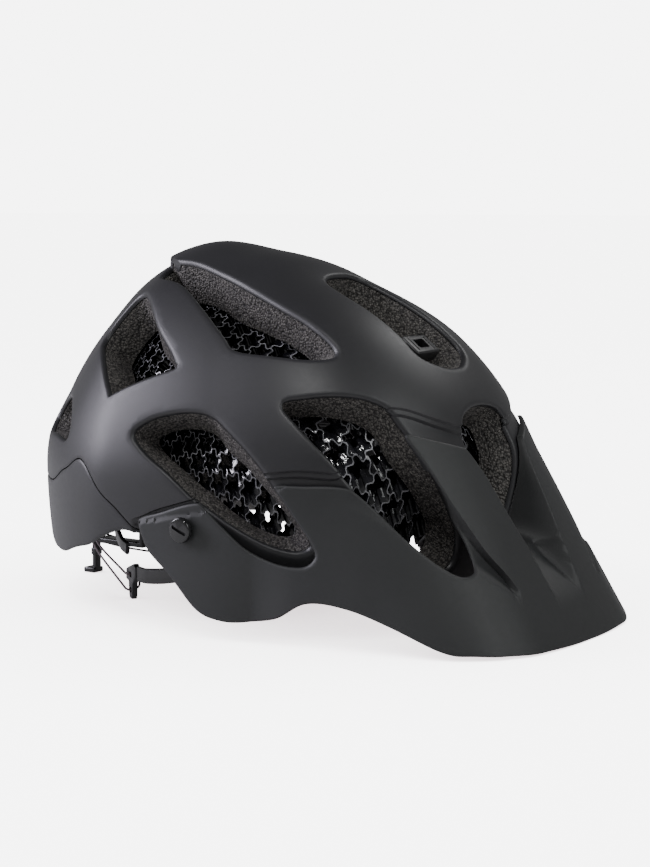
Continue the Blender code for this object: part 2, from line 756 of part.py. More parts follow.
turned(
    "dial_knob",
    [(2.9, 0), (12, 0), (12.6, 0.8), (12.6, 7.4), (11.6, 8.4), (3.7, 8.4), (3.7, 6.6), (1.5, 6.6),
     (1.5, 3.0), (2.9, 3.0), (2.9, 0)],
    (0, 101.5, DIAL_HEIGHT), (0, 1, 0), RUBBER, 32, origin=(0, 101.5, DIAL_HEIGHT),
)
turned(
    "dial_screw", [(0, 0), (1.2, 0), (1.2, 3.4), (3.3, 3.4), (3.3, 4.7), (0, 4.7)],
    (0, 104.9, DIAL_HEIGHT), (0, 1, 0), STEEL, 16, origin=(0, 104.9, DIAL_HEIGHT),
)
hanger = box("cradle_hanger", (0, 135, 21.0), (4.6, 2.8, 39.0), NYLON_BLACK, None, 0.4)
foot = box("cut_foot", (0, 137.5, 1.5), (8, 8, 3.0), NYLON_BLACK, None, 0.6)
foot.hide_render = True
foot.display_type = "WIRE"
joined = hanger.modifiers.new("join", "BOOLEAN")
joined.operation = "UNION"
joined.object = foot
# The hanger slides up into this socket by HANGER_TRAVEL to set the cradle's height
HANGER_TRAVEL = 8.0
slot_top = 40.5 + HANGER_TRAVEL + 1.0
hanger_socket = box(
    "hanger_socket", (0, 135, (slot_top + 36.0) / 2), (11, 6.4, slot_top - 31.0), NYLON_BLACK
)
cut(hanger_socket, box("cut_socket", (0, 135, slot_top - 12), (5.2, 3.4, 24), NYLON_BLACK))
cut(liner, box("cut_liner_socket", (0, 135, slot_top + 3.0 - 19), (11.6, 7.0, 38), NYLON_BLACK))


def guide_point(side, back, out, height):
    """A point beside a lace guide: back along the head, out of the head, above the floor."""
    x = -46.5 + 0.588 * back - 0.809 * out
    y = 69.0 + 0.809 * back + 0.588 * out
    return (-side * x, y, height)


for side, label in ((-1, "right"), (1, "left")):
    wing = ribbon(
        "cut_wing_" + label,
        [(side * 20, 99.2, 38.0), (side * 29, 95, 33.0), (side * 38, 84, 27.0), (side * 42.5, 76, 25.0)],
        (0, 0, 1), (0, 0, 1), 6.5, 2.2, NYLON_BLACK, 3,
    )
    wing.hide_render = True
    wing.display_type = "WIRE"
    joined = housing.modifiers.new("join", "BOOLEAN")
    joined.operation = "UNION"
    joined.object = wing

    # Guide frame: X runs back along the head, Y up, Z through the plate
    back = Vector((-side * 0.588, 0.809, 0))
    up = Vector((0, 0, 1))
    frame = Matrix((back, up, back.cross(up))).transposed().to_4x4()
    frame.translation = Vector(guide_point(side, 0, 0, 0))
    head = [
        (-10, 13), (-10, 18), (-6, 19.5), (6, 16), (10, 14.5), (10.5, 9), (5, 8.5), (4, 1.8),
        (2.5, 0.0), (-1.5, 0.0), (-3, 1.8), (-3.5, 8.5),
    ]
    guide = plate("lace_guide_" + label, head, 3.0, NYLON_BLACK, frame, guide_point(side, 0, 0, 9))
    for k, height in enumerate((12.6, 4.6)):
        window = frame @ Matrix.Translation((0.6, height, 0))
        cut(guide, box("cut_guide_%s_%d" % (label, k), (0, 0, 0), (4.4, 2.6, 8), NYLON_BLACK, window))

    arm_line = [
        (52.9, 60.2, 15.0), (57, 50, 15.5), (62.5, 30, 19), (65.5, 5, 26), (65.5, -18, 35), (63, -36, 44),
    ]
    ribbon(
        "band_arm_" + label, [(side * x, y, z) for x, y, z in arm_line],
        (0, 0, 1), (0, 0, 1), 8.0, 1.6, NYLON_BLACK, 3,
    )
    box("band_anchor_" + label, (side * 72.4, -31.0, 40.8), (4.0, 12, 12), NYLON_BLACK, None, 0.5)

    loop = [(3.0, 135.0, 22.0), (14, 119, 17.0)]
    route = [(side * x, y, z) for x, y, z in loop]
    route += [guide_point(side, b, o, z) for b, o, z in (
        (14, 2.8, 13.2), (3.4, 2.7, 12.7), (0.6, 0, 12.6), (0.2, -2.8, 11.0), (0.3, -3.3, 8.6),
        (0.2, -2.8, 6.2), (0.6, 0, 4.6), (3.4, 2.7, 4.6), (14, 2.8, 5.6),
    )]
    route += [(side * 14, 119.5, 12.5), (side * 3.0, 135.0, 17.0)]
    tube("lace_" + label, route, 0.6, LACE, 2)

# ---------------------------------------------------------------- straps, tucked up inside

WEB_WIDE = 15.0
WEB_THICK = 1.4
for side, label in ((-1, "right"), (1, "left")):
    def point(x, y, z):
        return (side * x, y, z)

    for where, around, down in (("front", 50, 93), ("rear", 124, 86)):
        frame = form_frame(side * around, down, lambda a, d: cell_inner(a, d) - 4.2)
        box("strap_anchor_%s_%s" % (where, label), (0, 0, 0), (18, 9, 3.6), NYLON_BLACK, frame, 0.6)
        exit_point = frame @ Vector((0, 0, -3.5))
        inward = -frame.col[2].to_3d()
        aim = Vector(point(40, -3, 92) if where == "front" else point(40, 23, 94))
        route = [
            exit_point, exit_point + inward * 7,
            exit_point.lerp(aim, 0.6) + Vector((0, 0, 5)), aim,
        ]
        ribbon(
            "%s_strap_%s" % (where, label), route, frame.col[0].to_3d(),
            (0, 0.25 if where == "front" else -0.25, 1), WEB_WIDE, WEB_THICK, WEBBING, 4,
        )
    divider_frame = Matrix.Translation(point(40, 10, 95))
    box("strap_divider_" + label, (0, 0, 0), (4.6, 24, 18), NYLON_BLACK, divider_frame, 0.8)
    box(
        "cam_lever_" + label, (-side * 4.2, 0, -1.5), (2.6, 18, 11), NYLON_BLACK, divider_frame, 0.5,
        origin=point(40 - 3.6, 10, 95 + 4),
    )
    chin = [point(40, 10, 104.6), point(37, 10, 112), point(27, 10, 121.5), point(16.4, 10, 124)]
    ribbon("chin_strap_" + label, chin, (0, 1, 0), (0, 1, 0), WEB_WIDE, WEB_THICK, WEBBING, 4)

buckle = box("buckle_socket", (-8.2, 10, 124), (15.6, 21, 9), NYLON_BLACK, None, 1.0)
tongue = box("buckle_tongue", (8.2, 10, 124), (15.6, 21, 9), NYLON_BLACK, None, 1.0, origin=(0, 10, 124))
for x, half, magnet_name in ((-4.0, buckle, "socket_magnet"), (4.0, tongue, "tongue_magnet")):
    cut(half, cylinder("cut_" + magnet_name, (x, 10, 124.5), (x, 10, 140), 3.4, STEEL, 16))
    cylinder(magnet_name, (x, 10, 124.9), (x, 10, 127.6), 3.0, STEEL, 16)
keeper = box("strap_keeper", (39.2, 10, 107.6), (7.4, 20, 3.6), RUBBER)
cut(keeper, box("cut_keeper", (39.2, 10, 107.6), (4.4, 16.4, 9.0), RUBBER))
pad_frame = Matrix.Translation((-23.9, 10, 116.6)) @ Matrix.Rotation(math.radians(-36), 4, "Y")
box("chin_pad", (0, 0, 0), (17, 19, 4.0), PAD_BLACK, pad_frame, 0.8)

# The frame's origin is under the middle of the whole helmet
for made in bpy.data.objects:
    made.location.y += STAND_SHIFT * MM
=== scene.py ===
"""Looks for the trail cycling helmet: fine shells, bead foam, honeycomb insert, visor and fit system.

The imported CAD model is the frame.  The shells, liner, insert and visor repeat the head form that
the CAD shells follow, at a finer spacing, with rolled edges and with some outlines corrected since.
Each piece rides on the CAD body of the node it replaces.
Lengths in this script are millimetres in the CAD design's own position; SHIFT_Y takes them to the
frame, whose origin lies under the middle of the helmet.
"""
import math

import bmesh
import bpy
import numpy as np
from mathutils import Matrix, Vector, kdtree
from mathutils.geometry import delaunay_2d_cdt


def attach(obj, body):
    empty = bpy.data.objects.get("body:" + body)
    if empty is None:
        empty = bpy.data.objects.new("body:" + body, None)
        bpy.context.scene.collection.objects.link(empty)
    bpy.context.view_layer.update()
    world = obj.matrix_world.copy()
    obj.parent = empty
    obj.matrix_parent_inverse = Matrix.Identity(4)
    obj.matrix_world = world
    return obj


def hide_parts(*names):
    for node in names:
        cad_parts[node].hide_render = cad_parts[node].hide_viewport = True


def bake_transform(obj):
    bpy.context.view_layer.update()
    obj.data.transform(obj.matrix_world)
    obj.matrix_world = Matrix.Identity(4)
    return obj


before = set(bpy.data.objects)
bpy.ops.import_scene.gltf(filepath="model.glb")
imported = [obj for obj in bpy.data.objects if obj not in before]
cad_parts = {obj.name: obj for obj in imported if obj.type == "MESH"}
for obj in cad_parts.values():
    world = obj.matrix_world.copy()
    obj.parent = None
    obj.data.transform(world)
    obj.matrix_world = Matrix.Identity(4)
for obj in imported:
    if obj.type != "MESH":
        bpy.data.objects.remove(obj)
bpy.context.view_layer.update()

scene = bpy.context.scene
MM = 0.001
SHIFT_Y = 14.75
RIGHT_AND_LEFT = ((-1, "right"), (1, "left"))

# ---------------------------------------------------------------- camera

CAMERA_TARGET = Vector((28.5, SHIFT_Y, 83.8)) * MM
CAMERA_AZIMUTH = math.radians(-55.2)
CAMERA_ELEVATION = math.radians(6.57)
CAMERA_DISTANCE = 1.052

camera_data = bpy.data.cameras.new("camera")
camera_data.sensor_fit = "VERTICAL"
camera_data.sensor_height = 36.0
camera_data.lens = 83.04
camera_data.clip_start = 0.05
camera_data.clip_end = 60.0
camera = bpy.data.objects.new("camera", camera_data)
scene.collection.objects.link(camera)
back = Vector((
    math.sin(CAMERA_AZIMUTH) * math.cos(CAMERA_ELEVATION),
    -math.cos(CAMERA_AZIMUTH) * math.cos(CAMERA_ELEVATION),
    math.sin(CAMERA_ELEVATION),
))
camera.location = CAMERA_TARGET + back * CAMERA_DISTANCE
camera.rotation_euler = (-back).to_track_quat("-Z", "Y").to_euler()
scene.camera = camera

# ---------------------------------------------------------------- head form, after the CAD design

CENTRE_Y = 38.0
CENTRE_Z = 70.1
HALF_WIDTH = 106.0
FRONT_REACH = 167.0
REAR_REACH = 110.0
TOP_REACH = 120.0
LOW_REACH = 280.0
FRONT_POWER = 2.5
REAR_POWER = 1.66
DOME_POWER = 1.62

SHELL_THICKNESS = 1.4
LAYER_GAP = 0.4
CELL_GAP = 1.3
LINER_DEPTH = 19.5
CELL_THICKNESS = 12.0
VISOR_THICKNESS = 2.2
VISOR_STANDOFF = 3.0
RECESS_DEPTH = 2.6
CROWN_RAISE = 4.2
PIVOT = (0.0, -11.0, 51.5)
CENTRE = Vector((0.0, CENTRE_Y, CENTRE_Z))


def smooth_curve(x, knots, values):
    """Monotone cubic through a few knots, flat beyond both ends."""
    knots = np.asarray(knots, float)
    values = np.asarray(values, float)
    x = np.clip(np.asarray(x, float), knots[0], knots[-1])
    step = np.diff(knots)
    slope = np.diff(values) / step
    tangent = np.zeros(len(knots))
    for i in range(1, len(knots) - 1):
        if slope[i - 1] * slope[i] > 0:
            tangent[i] = 2 * slope[i - 1] * slope[i] / (slope[i - 1] + slope[i])
    k = np.clip(np.searchsorted(knots, x, side="right") - 1, 0, len(step) - 1)
    t = (x - knots[k]) / step[k]
    h = step[k]
    return (
        values[k] * (1 + 2 * t) * (1 - t) ** 2
        + tangent[k] * h * t * (1 - t) ** 2
        + values[k + 1] * t * t * (3 - 2 * t)
        + tangent[k + 1] * h * t * t * (t - 1)
    )


def smooth_step(low, high, x):
    t = np.clip((x - low) / (high - low), 0.0, 1.0)
    return t * t * (3 - 2 * t)


def rounded(t):
    """Absolute value with a rounded tip."""
    return np.sqrt(t * t + 0.0011**2)


def fullness(around, down):
    """What the form gains at the brow, and loses at the crown and the rear upper corners."""
    side = np.abs(around)
    brow = 4.6 * smooth_step(60, 25, side) * smooth_step(36, 62, down) * smooth_step(106, 82, down)
    crown = 2.2 * smooth_step(32, 8, down)
    rear = 3.6 * smooth_step(105, 140, side) * smooth_step(14, 44, down) * smooth_step(81, 66, down)
    return brow - crown - rear


def form_radius(around, down):
    """Radius of the head form. around is 0 at the front, down is 0 at the crown, in degrees."""
    a = np.radians(around)
    d = np.radians(down)
    x = np.sin(d) * np.sin(a)
    y = -np.sin(d) * np.cos(a)
    z = np.cos(d)
    front = 0.5 - 0.5 * np.tanh(y / 0.12)
    power = REAR_POWER + (FRONT_POWER - REAR_POWER) * front
    reach = np.where(y < 0, FRONT_REACH, REAR_REACH)
    ring = (rounded(x / HALF_WIDTH) ** power + rounded(y / reach) ** power) ** (1 / power)
    rise = rounded(np.where(z > 0, z / TOP_REACH, z / LOW_REACH))
    return (ring**DOME_POWER + rise**DOME_POWER) ** (-1 / DOME_POWER) + fullness(around, down)


def recess_edge(around):
    return smooth_curve(
        np.abs(around), [0, 9, 13, 22, 28, 34, 40, 46, 61, 72, 84],
        [79.5, 79.2, 78.0, 74.8, 81, 86.0, 85.5, 86.0, 92.0, 95.8, 100],
    )


def recess(around, down):
    """Depth of the pocket in the shell that the visor lies in."""
    edge = recess_edge(around)
    fade = 1 - smooth_step(79.5, 81.5, np.abs(around))
    first = 0.45 * smooth_step(edge - 0.5, edge - 0.1, down)
    second = 0.55 * smooth_step(edge + 0.7, edge + 1.2, down)
    ramp = 1 - 0.5 * smooth_step(edge + 1.6, edge + 6, down) * smooth_step(27, 22, np.abs(around))
    return RECESS_DEPTH * (first + second) * ramp * fade


# Rear end of the raised crown panel, in map degrees from the middle line outwards
CROWN_TAIL = [(0.0, 18.0), (6.0, 15.7), (11.0, 13.0), (14.7, 10.3), (19.0, 4.0)]


def crown_tail(across):
    """How far behind the crown the raised panel reaches."""
    return smooth_curve(across, *zip(*CROWN_TAIL))


def crown_raise(around, down):
    """The crown panel stands proud between the rear top vents and ends in a step behind."""
    a = np.radians(around)
    across = np.abs(down * np.sin(a))
    back = -down * np.cos(a)
    side = smooth_curve(back, [-53, -19, -5, 6, 11], [29.0, 25.3, 22.2, 20.0, 17.5])
    grow = smooth_step(-14.0, 13.0, back)
    behind = smooth_step(0.7, -0.3, back - crown_tail(across))
    return CROWN_RAISE * grow * behind * smooth_step(0.8, -0.4, across - side)


def shell_radius(around, down):
    return form_radius(around, down) - recess(around, down) + crown_raise(around, down)


def liner_outer(around, down):
    return shell_radius(around, down) - SHELL_THICKNESS - LAYER_GAP


def liner_inner(around, down):
    rear = smooth_step(110, 150, np.abs(around)) * smooth_step(40, 70, down)
    return form_radius(around, down) - LINER_DEPTH - 8.0 * rear


def cell_outer(around, down):
    return liner_inner(around, down) - CELL_GAP


def cell_inner(around, down):
    return liner_inner(around, down) - CELL_GAP - CELL_THICKNESS


def standoff(around):
    """Gap between the form and the visor: close over the brow, wider at the sides."""
    return VISOR_STANDOFF - 2.4 * smooth_step(55, 35, np.abs(around))


def visor_sheet(around, down):
    """The visor's plain outer surface: the head form at the sides, a straight run in front."""
    a = np.abs(around)
    top = smooth_curve(a, [0, 20, 35, 50, 90], [78, 79, 84, 92, 100])
    first = form_radius(around, top) + standoff(around)
    first_out = first * np.sin(np.radians(top))
    first_up = first * np.cos(np.radians(top))
    rim_out = smooth_curve(
        a, [0, 11, 17, 22, 26, 31, 36, 42, 50, 90],
        [210, 211, 207, 198, 187, 171, 157, 144, 129, 108],
    )
    rim_up = smooth_curve(a, [0, 22, 36, 50, 90], [-69, -67, -60, -58, -58])
    run_out = rim_out - first_out
    run_up = rim_up - first_up
    d = np.radians(down)
    across = np.sin(d) * run_up - np.cos(d) * run_out
    across = np.where(np.abs(across) < 1e-6, 1e-6, across)
    line = (first_out * run_up - first_up * run_out) / across
    line = np.where((line > 0) & (down > top), line, 0.0)
    base = form_radius(around, down) + standoff(around)
    blend = 4.0
    near = np.abs(line - base)
    bump = np.where(near < blend, (blend - near) ** 2 / (4 * blend), 0.0)
    return np.maximum(line, base) + bump


def finger_crease(down):
    """Where each finger's top ends on its outer side, in degrees around."""
    return smooth_curve(down, [78, 90, 97.3, 103], [20.5, 17.0, 14.2, 11.0])


def visor_hollows(around, down):
    """Centre trough below the middle vent, and a wedge beside each finger below each front vent."""
    a = np.abs(around)
    half = smooth_curve(down, [90, 98, 104], [6.6, 5.0, 3.9])
    trough = smooth_step(half + 0.1, half - 0.9, a) * smooth_step(105.0, 99.5, down)
    gap = np.maximum(visor_sheet(around, down) - shell_radius(around, down) - VISOR_THICKNESS - 1.0, 0)
    crease = finger_crease(down)
    wide = np.maximum(8.5 * (103.4 - down) / 6.4, 0.05)
    wedge = np.clip(1 - (a - crease) / wide, 0, 1) * smooth_step(0.0, 0.7, a - crease)
    wedge = wedge * smooth_step(88, 95, down) * smooth_step(103.6, 102.4, down)
    return np.minimum(gap, 16.0) * trough + 5.5 * wedge


def visor_radius(around, down):
    return visor_sheet(around, down) - visor_hollows(around, down)


def place(around, down, radius):
    """Millimetre points on the form."""
    a = np.radians(around)
    d = np.radians(down)
    return np.stack(
        [
            radius * np.sin(d) * np.sin(a),
            CENTRE_Y - radius * np.sin(d) * np.cos(a),
            CENTRE_Z + radius * np.cos(d),
        ],
        axis=-1,
    )


def to_map(around, down):
    """Flat map of the form: distance from the origin is the angle down from the crown."""
    a = np.radians(around)
    return np.stack([down * np.sin(a), -down * np.cos(a)], axis=-1)


def from_map(points):
    down = np.hypot(points[:, 0], points[:, 1])
    around = np.degrees(np.arctan2(points[:, 0], -points[:, 1]))
    return around, down


# ---------------------------------------------------------------- outlines, (around, down)

CROWN_SLOT = [
    (0, 34.5), (8, 35), (13, 37.5), (13, 43), (11, 52), (9.8, 59), (8.8, 64.5), (4, 67.3), (0, 67.8),
]
MIDDLE_VENT = [(0, 76), (4.6, 76.7), (7.4, 79), (7.6, 85), (6.2, 92), (4, 97.8), (0, 99.3)]
REAR_TOP_VENT = [
    (125, 18), (108, 18.6), (80, 19.4), (50, 31.2), (37, 44), (31, 53), (28.4, 61.6),
    (37, 60.8), (51, 55.4), (56, 49.3), (66, 38), (84, 27.5), (112, 23.5),
]
UPPER_REAR_VENT = [
    (117, 31.6), (104, 32.6), (85, 44), (73, 55), (73.5, 57.8), (93, 64.6),
    (96.5, 63.8), (111, 52.7), (121, 47.6), (123, 40.8),
]
SMALL_REAR_VENT = [
    (123, 68.7), (113.5, 76), (117, 80.5), (140, 80.5), (151, 78), (150, 72.5), (136, 68),
]
SIDE_VENT = [
    (82, 76.5), (77.5, 72.9), (71, 71.2), (64, 70.9), (58.5, 72.4), (53.5, 77.2), (48.3, 83.3),
    (44, 89.6), (39.8, 95.4), (37.3, 99.6), (37.9, 101.4), (41, 102.1), (46, 101.2), (51.4, 99),
    (56.6, 96.2), (63, 92.1), (70.5, 86), (77.3, 81.5),
]
FRONT_VENT = [
    (41.8, 71.2), (37, 70.6), (29, 71.4), (25, 72.8), (21.8, 75.4), (19.6, 80.5), (16.2, 87.5), (12.6, 93.5),
    (10, 98), (9.7, 103), (13, 104.5), (20, 101), (26, 94.8), (31.5, 87.2), (36, 81), (39.4, 76),
]
LOWER_EDGE = [
    (0, 110), (20, 110), (35, 110), (50, 112.5), (60, 112.5), (68, 109.5), (74, 106.5),
    (83, 102.6), (92, 105), (101, 109), (115, 112.8), (125, 113.6), (135, 112.4), (155, 112),
    (180, 112),
]
CHEVRON = [
    (73.5, 106.8), (81, 101.6), (87, 96.8), (93, 92.6), (102, 84.8), (112, 88.5), (128, 93.6),
    (155, 95), (180, 95.5),
]
VISOR_EDGE = [
    (0, 99.4), (3.2, 99.3), (4.9, 97.8), (6.2, 93.5), (7.5, 88), (8.9, 84.4), (9.9, 82.9), (11, 82.5),
    (14, 81.6), (17, 80.7), (20, 79.7), (21, 79.8), (20.8, 81), (19.4, 84), (18, 87.5), (16.8, 91.9),
    (15.8, 97), (16.5, 99.8), (19, 100.6), (22, 99), (25, 96.2), (28, 92.4), (31.2, 89), (33.5, 88.2),
    (39, 88.1), (44, 88.1), (44.6, 88.6), (43.6, 90.4), (41, 94.6), (38.6, 98.4),
    (38, 100.8), (40, 102.8), (44, 103.3), (48, 102.6), (51.5, 100.9), (55.5, 97.6), (59, 94.6),
    (60.7, 93.2), (62, 93), (68.5, 95), (72.5, 96.5), (77, 98), (78, 99.5),
    (75, 105.5), (69, 109.7), (62, 115), (56, 116), (50, 115), (45, 112.7), (40, 108.6), (34, 107.5),
    (29, 108), (24, 109), (20, 108.6), (13, 108.2), (6, 108.3), (0, 108.4),
]
CELL_EDGE = [
    (0, 101), (25, 101), (45, 102), (60, 101.5), (75, 97), (85, 95.5), (97, 97), (115, 99),
    (135, 94), (155, 90), (180, 89),
]


def mirrored(outline):
    return [(-a, d) for a, d in reversed(outline)]


def closed_half(outline):
    """A half outline that starts and ends on the middle line, completed on the other side."""
    return outline + [(-a, d) for a, d in reversed(outline[1:-1])]


def catmull(a, b, c, d, t):
    """A point of the Catmull-Rom curve between b and c."""
    return 0.5 * (
        2 * b + (c - a) * t + (2 * a - 5 * b + 4 * c - d) * t * t + (3 * b - a - 3 * c + d) * t**3
    )


def resample(points, spacing, closed=True):
    """Catmull-Rom curve through the map points, at an even spacing."""
    count = len(points)
    dense = []
    spans = count if closed else count - 1
    for i in range(spans):
        if closed:
            p = [points[(i + k) % count] for k in (-1, 0, 1, 2)]
        else:
            p = [points[min(max(i + k, 0), count - 1)] for k in (-1, 0, 1, 2)]
        dense += [catmull(*p, s / 12) for s in range(12)]
    if not closed:
        dense.append(points[-1])
    dense = np.array(dense)
    loop = np.vstack([dense, dense[:1]]) if closed else dense
    length = np.concatenate([[0], np.cumsum(np.linalg.norm(np.diff(loop, axis=0), axis=1))])
    steps = max(int(round(length[-1] / spacing)), 4)
    at = np.linspace(0, length[-1], steps + 1)
    even = np.stack([np.interp(at, length, loop[:, k]) for k in (0, 1)], axis=-1)
    return even[:-1] if closed else even


def map_loop(outline, spacing):
    a, d = np.array(outline, float).T
    return resample(to_map(a, d), spacing)


def inside(points, loop):
    """Even-odd test of map points against a loop."""
    result = np.zeros(len(points), bool)
    for p, q in zip(loop, np.roll(loop, -1, axis=0)):
        crosses = (p[1] > points[:, 1]) != (q[1] > points[:, 1])
        if crosses.any():
            at = p[0] + (points[:, 1] - p[1]) * (q[0] - p[0]) / (q[1] - p[1])
            result ^= crosses & (points[:, 0] < at)
    return result


def nearest(points, targets):
    """Distance from each point to the nearest target point."""
    tree = kdtree.KDTree(len(targets))
    for i, p in enumerate(targets):
        tree.insert((*p, 0.0) if len(p) == 2 else p, i)
    tree.balance()
    return np.array([tree.find((*p, 0.0) if len(p) == 2 else p)[2] for p in points])


def pushed(loop, distance, closed=True):
    """The loop moved sideways in the map, to its left as it runs."""
    if closed:
        along = np.roll(loop, -1, axis=0) - np.roll(loop, 1, axis=0)
    else:
        along = np.gradient(loop, axis=0)
    along = along / np.maximum(np.linalg.norm(along, axis=1), 1e-9)[:, None]
    return loop + distance * np.stack([-along[:, 1], along[:, 0]], axis=-1)


def area(loop):
    following = np.roll(loop, -1, axis=0)
    return 0.5 * np.sum(loop[:, 0] * following[:, 1] - following[:, 0] * loop[:, 1])


def outwards(loop, distance):
    """The closed loop grown by a distance, whichever way it runs."""
    return pushed(loop, -distance if area(loop) > 0 else distance)


def triangulate(outer, holes, spacing, lines=(), reach=125.0):
    """Map points and triangles of a region with holes; lines are kept as edges."""
    rows = int(reach / (spacing * 0.866)) + 1
    columns = int(reach / spacing) + 1
    j, i = np.mgrid[-rows:rows + 1, -columns:columns + 1]
    grid = np.stack([((i + 0.5 * (j % 2)) * spacing).ravel(), (j * spacing * 0.866).ravel()], axis=-1)
    grid = grid[inside(grid, outer)]
    for hole in holes:
        grid = grid[~inside(grid, hole)]
    kept = np.vstack([outer, *holes, *lines])
    grid = grid[nearest(grid, kept) > 0.55 * spacing]
    points = []
    edges = []
    for loop in [outer, *holes]:
        start = len(points)
        points.extend(loop)
        edges += [(start + k, start + (k + 1) % len(loop)) for k in range(len(loop))]
    for line in lines:
        start = len(points)
        points.extend(line)
        edges += [(start + k, start + k + 1) for k in range(len(line) - 1)]
    points.extend(grid)
    found = delaunay_2d_cdt([Vector(p) for p in points], edges, [], 0, 1e-5)
    flat = np.array([tuple(p) for p in found[0]])
    faces = np.array([tuple(f) for f in found[2] if len(f) == 3])
    middle = flat[faces].mean(axis=1)
    keep = inside(middle, outer)
    for hole in holes:
        keep &= ~inside(middle, hole)
    return flat, faces[keep]


# ---------------------------------------------------------------- meshes

def finished(name, mesh, look, smooth, second=None):
    """The mesh as an object with its materials, smooth but for edges sharper than an angle."""
    mesh.materials.append(look)
    if second:
        mesh.materials.append(second)
    mesh.shade_smooth()
    mesh.set_sharp_from_angle(angle=math.radians(smooth))
    made = bpy.data.objects.new(name, mesh)
    scene.collection.objects.link(made)
    return made


def baked(made):
    """Replaces the object's mesh by what its modifiers make of it."""
    bpy.context.view_layer.update()
    graph = bpy.context.evaluated_depsgraph_get()
    mesh = bpy.data.meshes.new_from_object(made.evaluated_get(graph))
    made.modifiers.clear()
    made.data = mesh
    return mesh


def dress(made, body, slot, *nodes):
    """The piece rides on a body and stands for CAD nodes; slot is not used."""
    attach(made, body)
    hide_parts(*nodes)
    return made


def make_object(name, points, faces, look, smooth=35.0, second=None, second_faces=()):
    """A mesh from millimetre points in the design's position, taken to the frame."""
    mesh = bpy.data.meshes.new(name)
    world = (np.asarray(points, float) + [0.0, SHIFT_Y, 0.0]) * MM
    mesh.from_pydata(world.tolist(), [], [tuple(int(i) for i in f) for f in faces])
    for i in second_faces:
        mesh.polygons[i].material_index = 1
    mesh.update()
    tidy = bmesh.new()
    tidy.from_mesh(mesh)
    bmesh.ops.remove_doubles(tidy, verts=tidy.verts, dist=2e-6)
    bmesh.ops.recalc_face_normals(tidy, faces=tidy.faces)
    tidy.to_mesh(mesh)
    tidy.free()
    return finished(name, mesh, look, smooth, second)


def sheet_mesh(flat, faces, outer_points, inner_points, steps):
    """Points and faces of a closed solid between two surfaces over one triangulation."""
    count = len(flat)
    directed = set()
    for f in faces:
        directed.update(((f[0], f[1]), (f[1], f[2]), (f[2], f[0])))
    rim = sorted((p, q) for p, q in directed if (q, p) not in directed)
    points = [outer_points, inner_points]
    columns = {}
    extra = []
    next_index = 2 * count
    for p in sorted({i for edge in rim for i in edge}):
        column = [p]
        for s in range(1, steps):
            t = s / steps
            extra.append(outer_points[p] * (1 - t) + inner_points[p] * t)
            column.append(next_index)
            next_index += 1
        column.append(p + count)
        columns[p] = column
    if extra:
        points.append(np.array(extra))
    walls = [
        (columns[q][s], columns[p][s], columns[p][s + 1], columns[q][s + 1])
        for p, q in rim for s in range(steps)
    ]
    solid = [tuple(f) for f in faces] + [tuple(f[::-1] + count) for f in faces] + walls
    return np.vstack(points), solid


def compact(flat, faces):
    """The points that the faces use, and the faces numbered over those alone."""
    used = np.unique(faces)
    lookup = np.zeros(len(flat), int)
    lookup[used] = np.arange(len(used))
    return used, lookup[faces]


def roll(distance, width, depth):
    """How far a surface drops towards an edge: a quarter of an ellipse."""
    t = np.clip(1 - distance / width, 0, 1)
    return depth * (1 - np.sqrt(np.clip(1 - t * t, 0, 1)))


def lip(distance):
    """The rolled lip that the shell turns down round every opening."""
    return roll(distance, 2.6, 2.1)


def densified(loop, closed=True, parts=3):
    """Extra points along a loop, so that the nearest one is close."""
    following = np.roll(loop, -1, axis=0) if closed else np.vstack([loop[1:], loop[-1:]])
    return np.vstack([loop + (following - loop) * k / parts for k in range(parts)])


def surface(points, radius_function):
    around, down = from_map(points)
    return place(around, down, radius_function(around, down))


# ---------------------------------------------------------------- materials

def new_material(name, colour, roughness, metallic=0.0, coat=0.0, sheen=0.0):
    made = bpy.data.materials.new(name)
    made.use_nodes = True
    tree = made.node_tree
    shader = tree.nodes["Principled BSDF"]
    shader.inputs["Base Color"].default_value = (*colour, 1.0)
    shader.inputs["Roughness"].default_value = roughness
    shader.inputs["Metallic"].default_value = metallic
    shader.inputs["Coat Weight"].default_value = coat
    shader.inputs["Sheen Weight"].default_value = sheen
    coordinates = tree.nodes.new("ShaderNodeTexCoord")
    return made, tree, shader, coordinates.outputs["Object"]


def noise(tree, place_on, scale, detail=3.0, roughness=0.5):
    node = tree.nodes.new("ShaderNodeTexNoise")
    node.inputs["Scale"].default_value = scale
    node.inputs["Detail"].default_value = detail
    node.inputs["Roughness"].default_value = roughness
    tree.links.new(place_on, node.inputs["Vector"])
    return node.outputs["Fac"]


def cells(tree, place_on, scale, randomness=1.0):
    node = tree.nodes.new("ShaderNodeTexVoronoi")
    node.inputs["Scale"].default_value = scale
    node.inputs["Randomness"].default_value = randomness
    tree.links.new(place_on, node.inputs["Vector"])
    return node


def ramp(tree, value, stops):
    """A colour ramp; stops are (position, colour)."""
    node = tree.nodes.new("ShaderNodeValToRGB")
    elements = node.color_ramp.elements
    while len(elements) < len(stops):
        elements.new(0.5)
    for element, (position, colour) in zip(elements, stops):
        element.position = position
        element.color = (*colour, 1.0)
    tree.links.new(value, node.inputs["Fac"])
    return node.outputs["Color"]


def tint(tree, shader, value, stops):
    """Colours the surface by a ramp."""
    tree.links.new(ramp(tree, value, stops), shader.inputs["Base Color"])


def math_node(tree, operation, a, b):
    node = tree.nodes.new("ShaderNodeMath")
    node.operation = operation
    for socket, value in zip(node.inputs, (a, b)):
        if isinstance(value, (int, float)):
            socket.default_value = value
        else:
            tree.links.new(value, socket)
    return node.outputs["Value"]


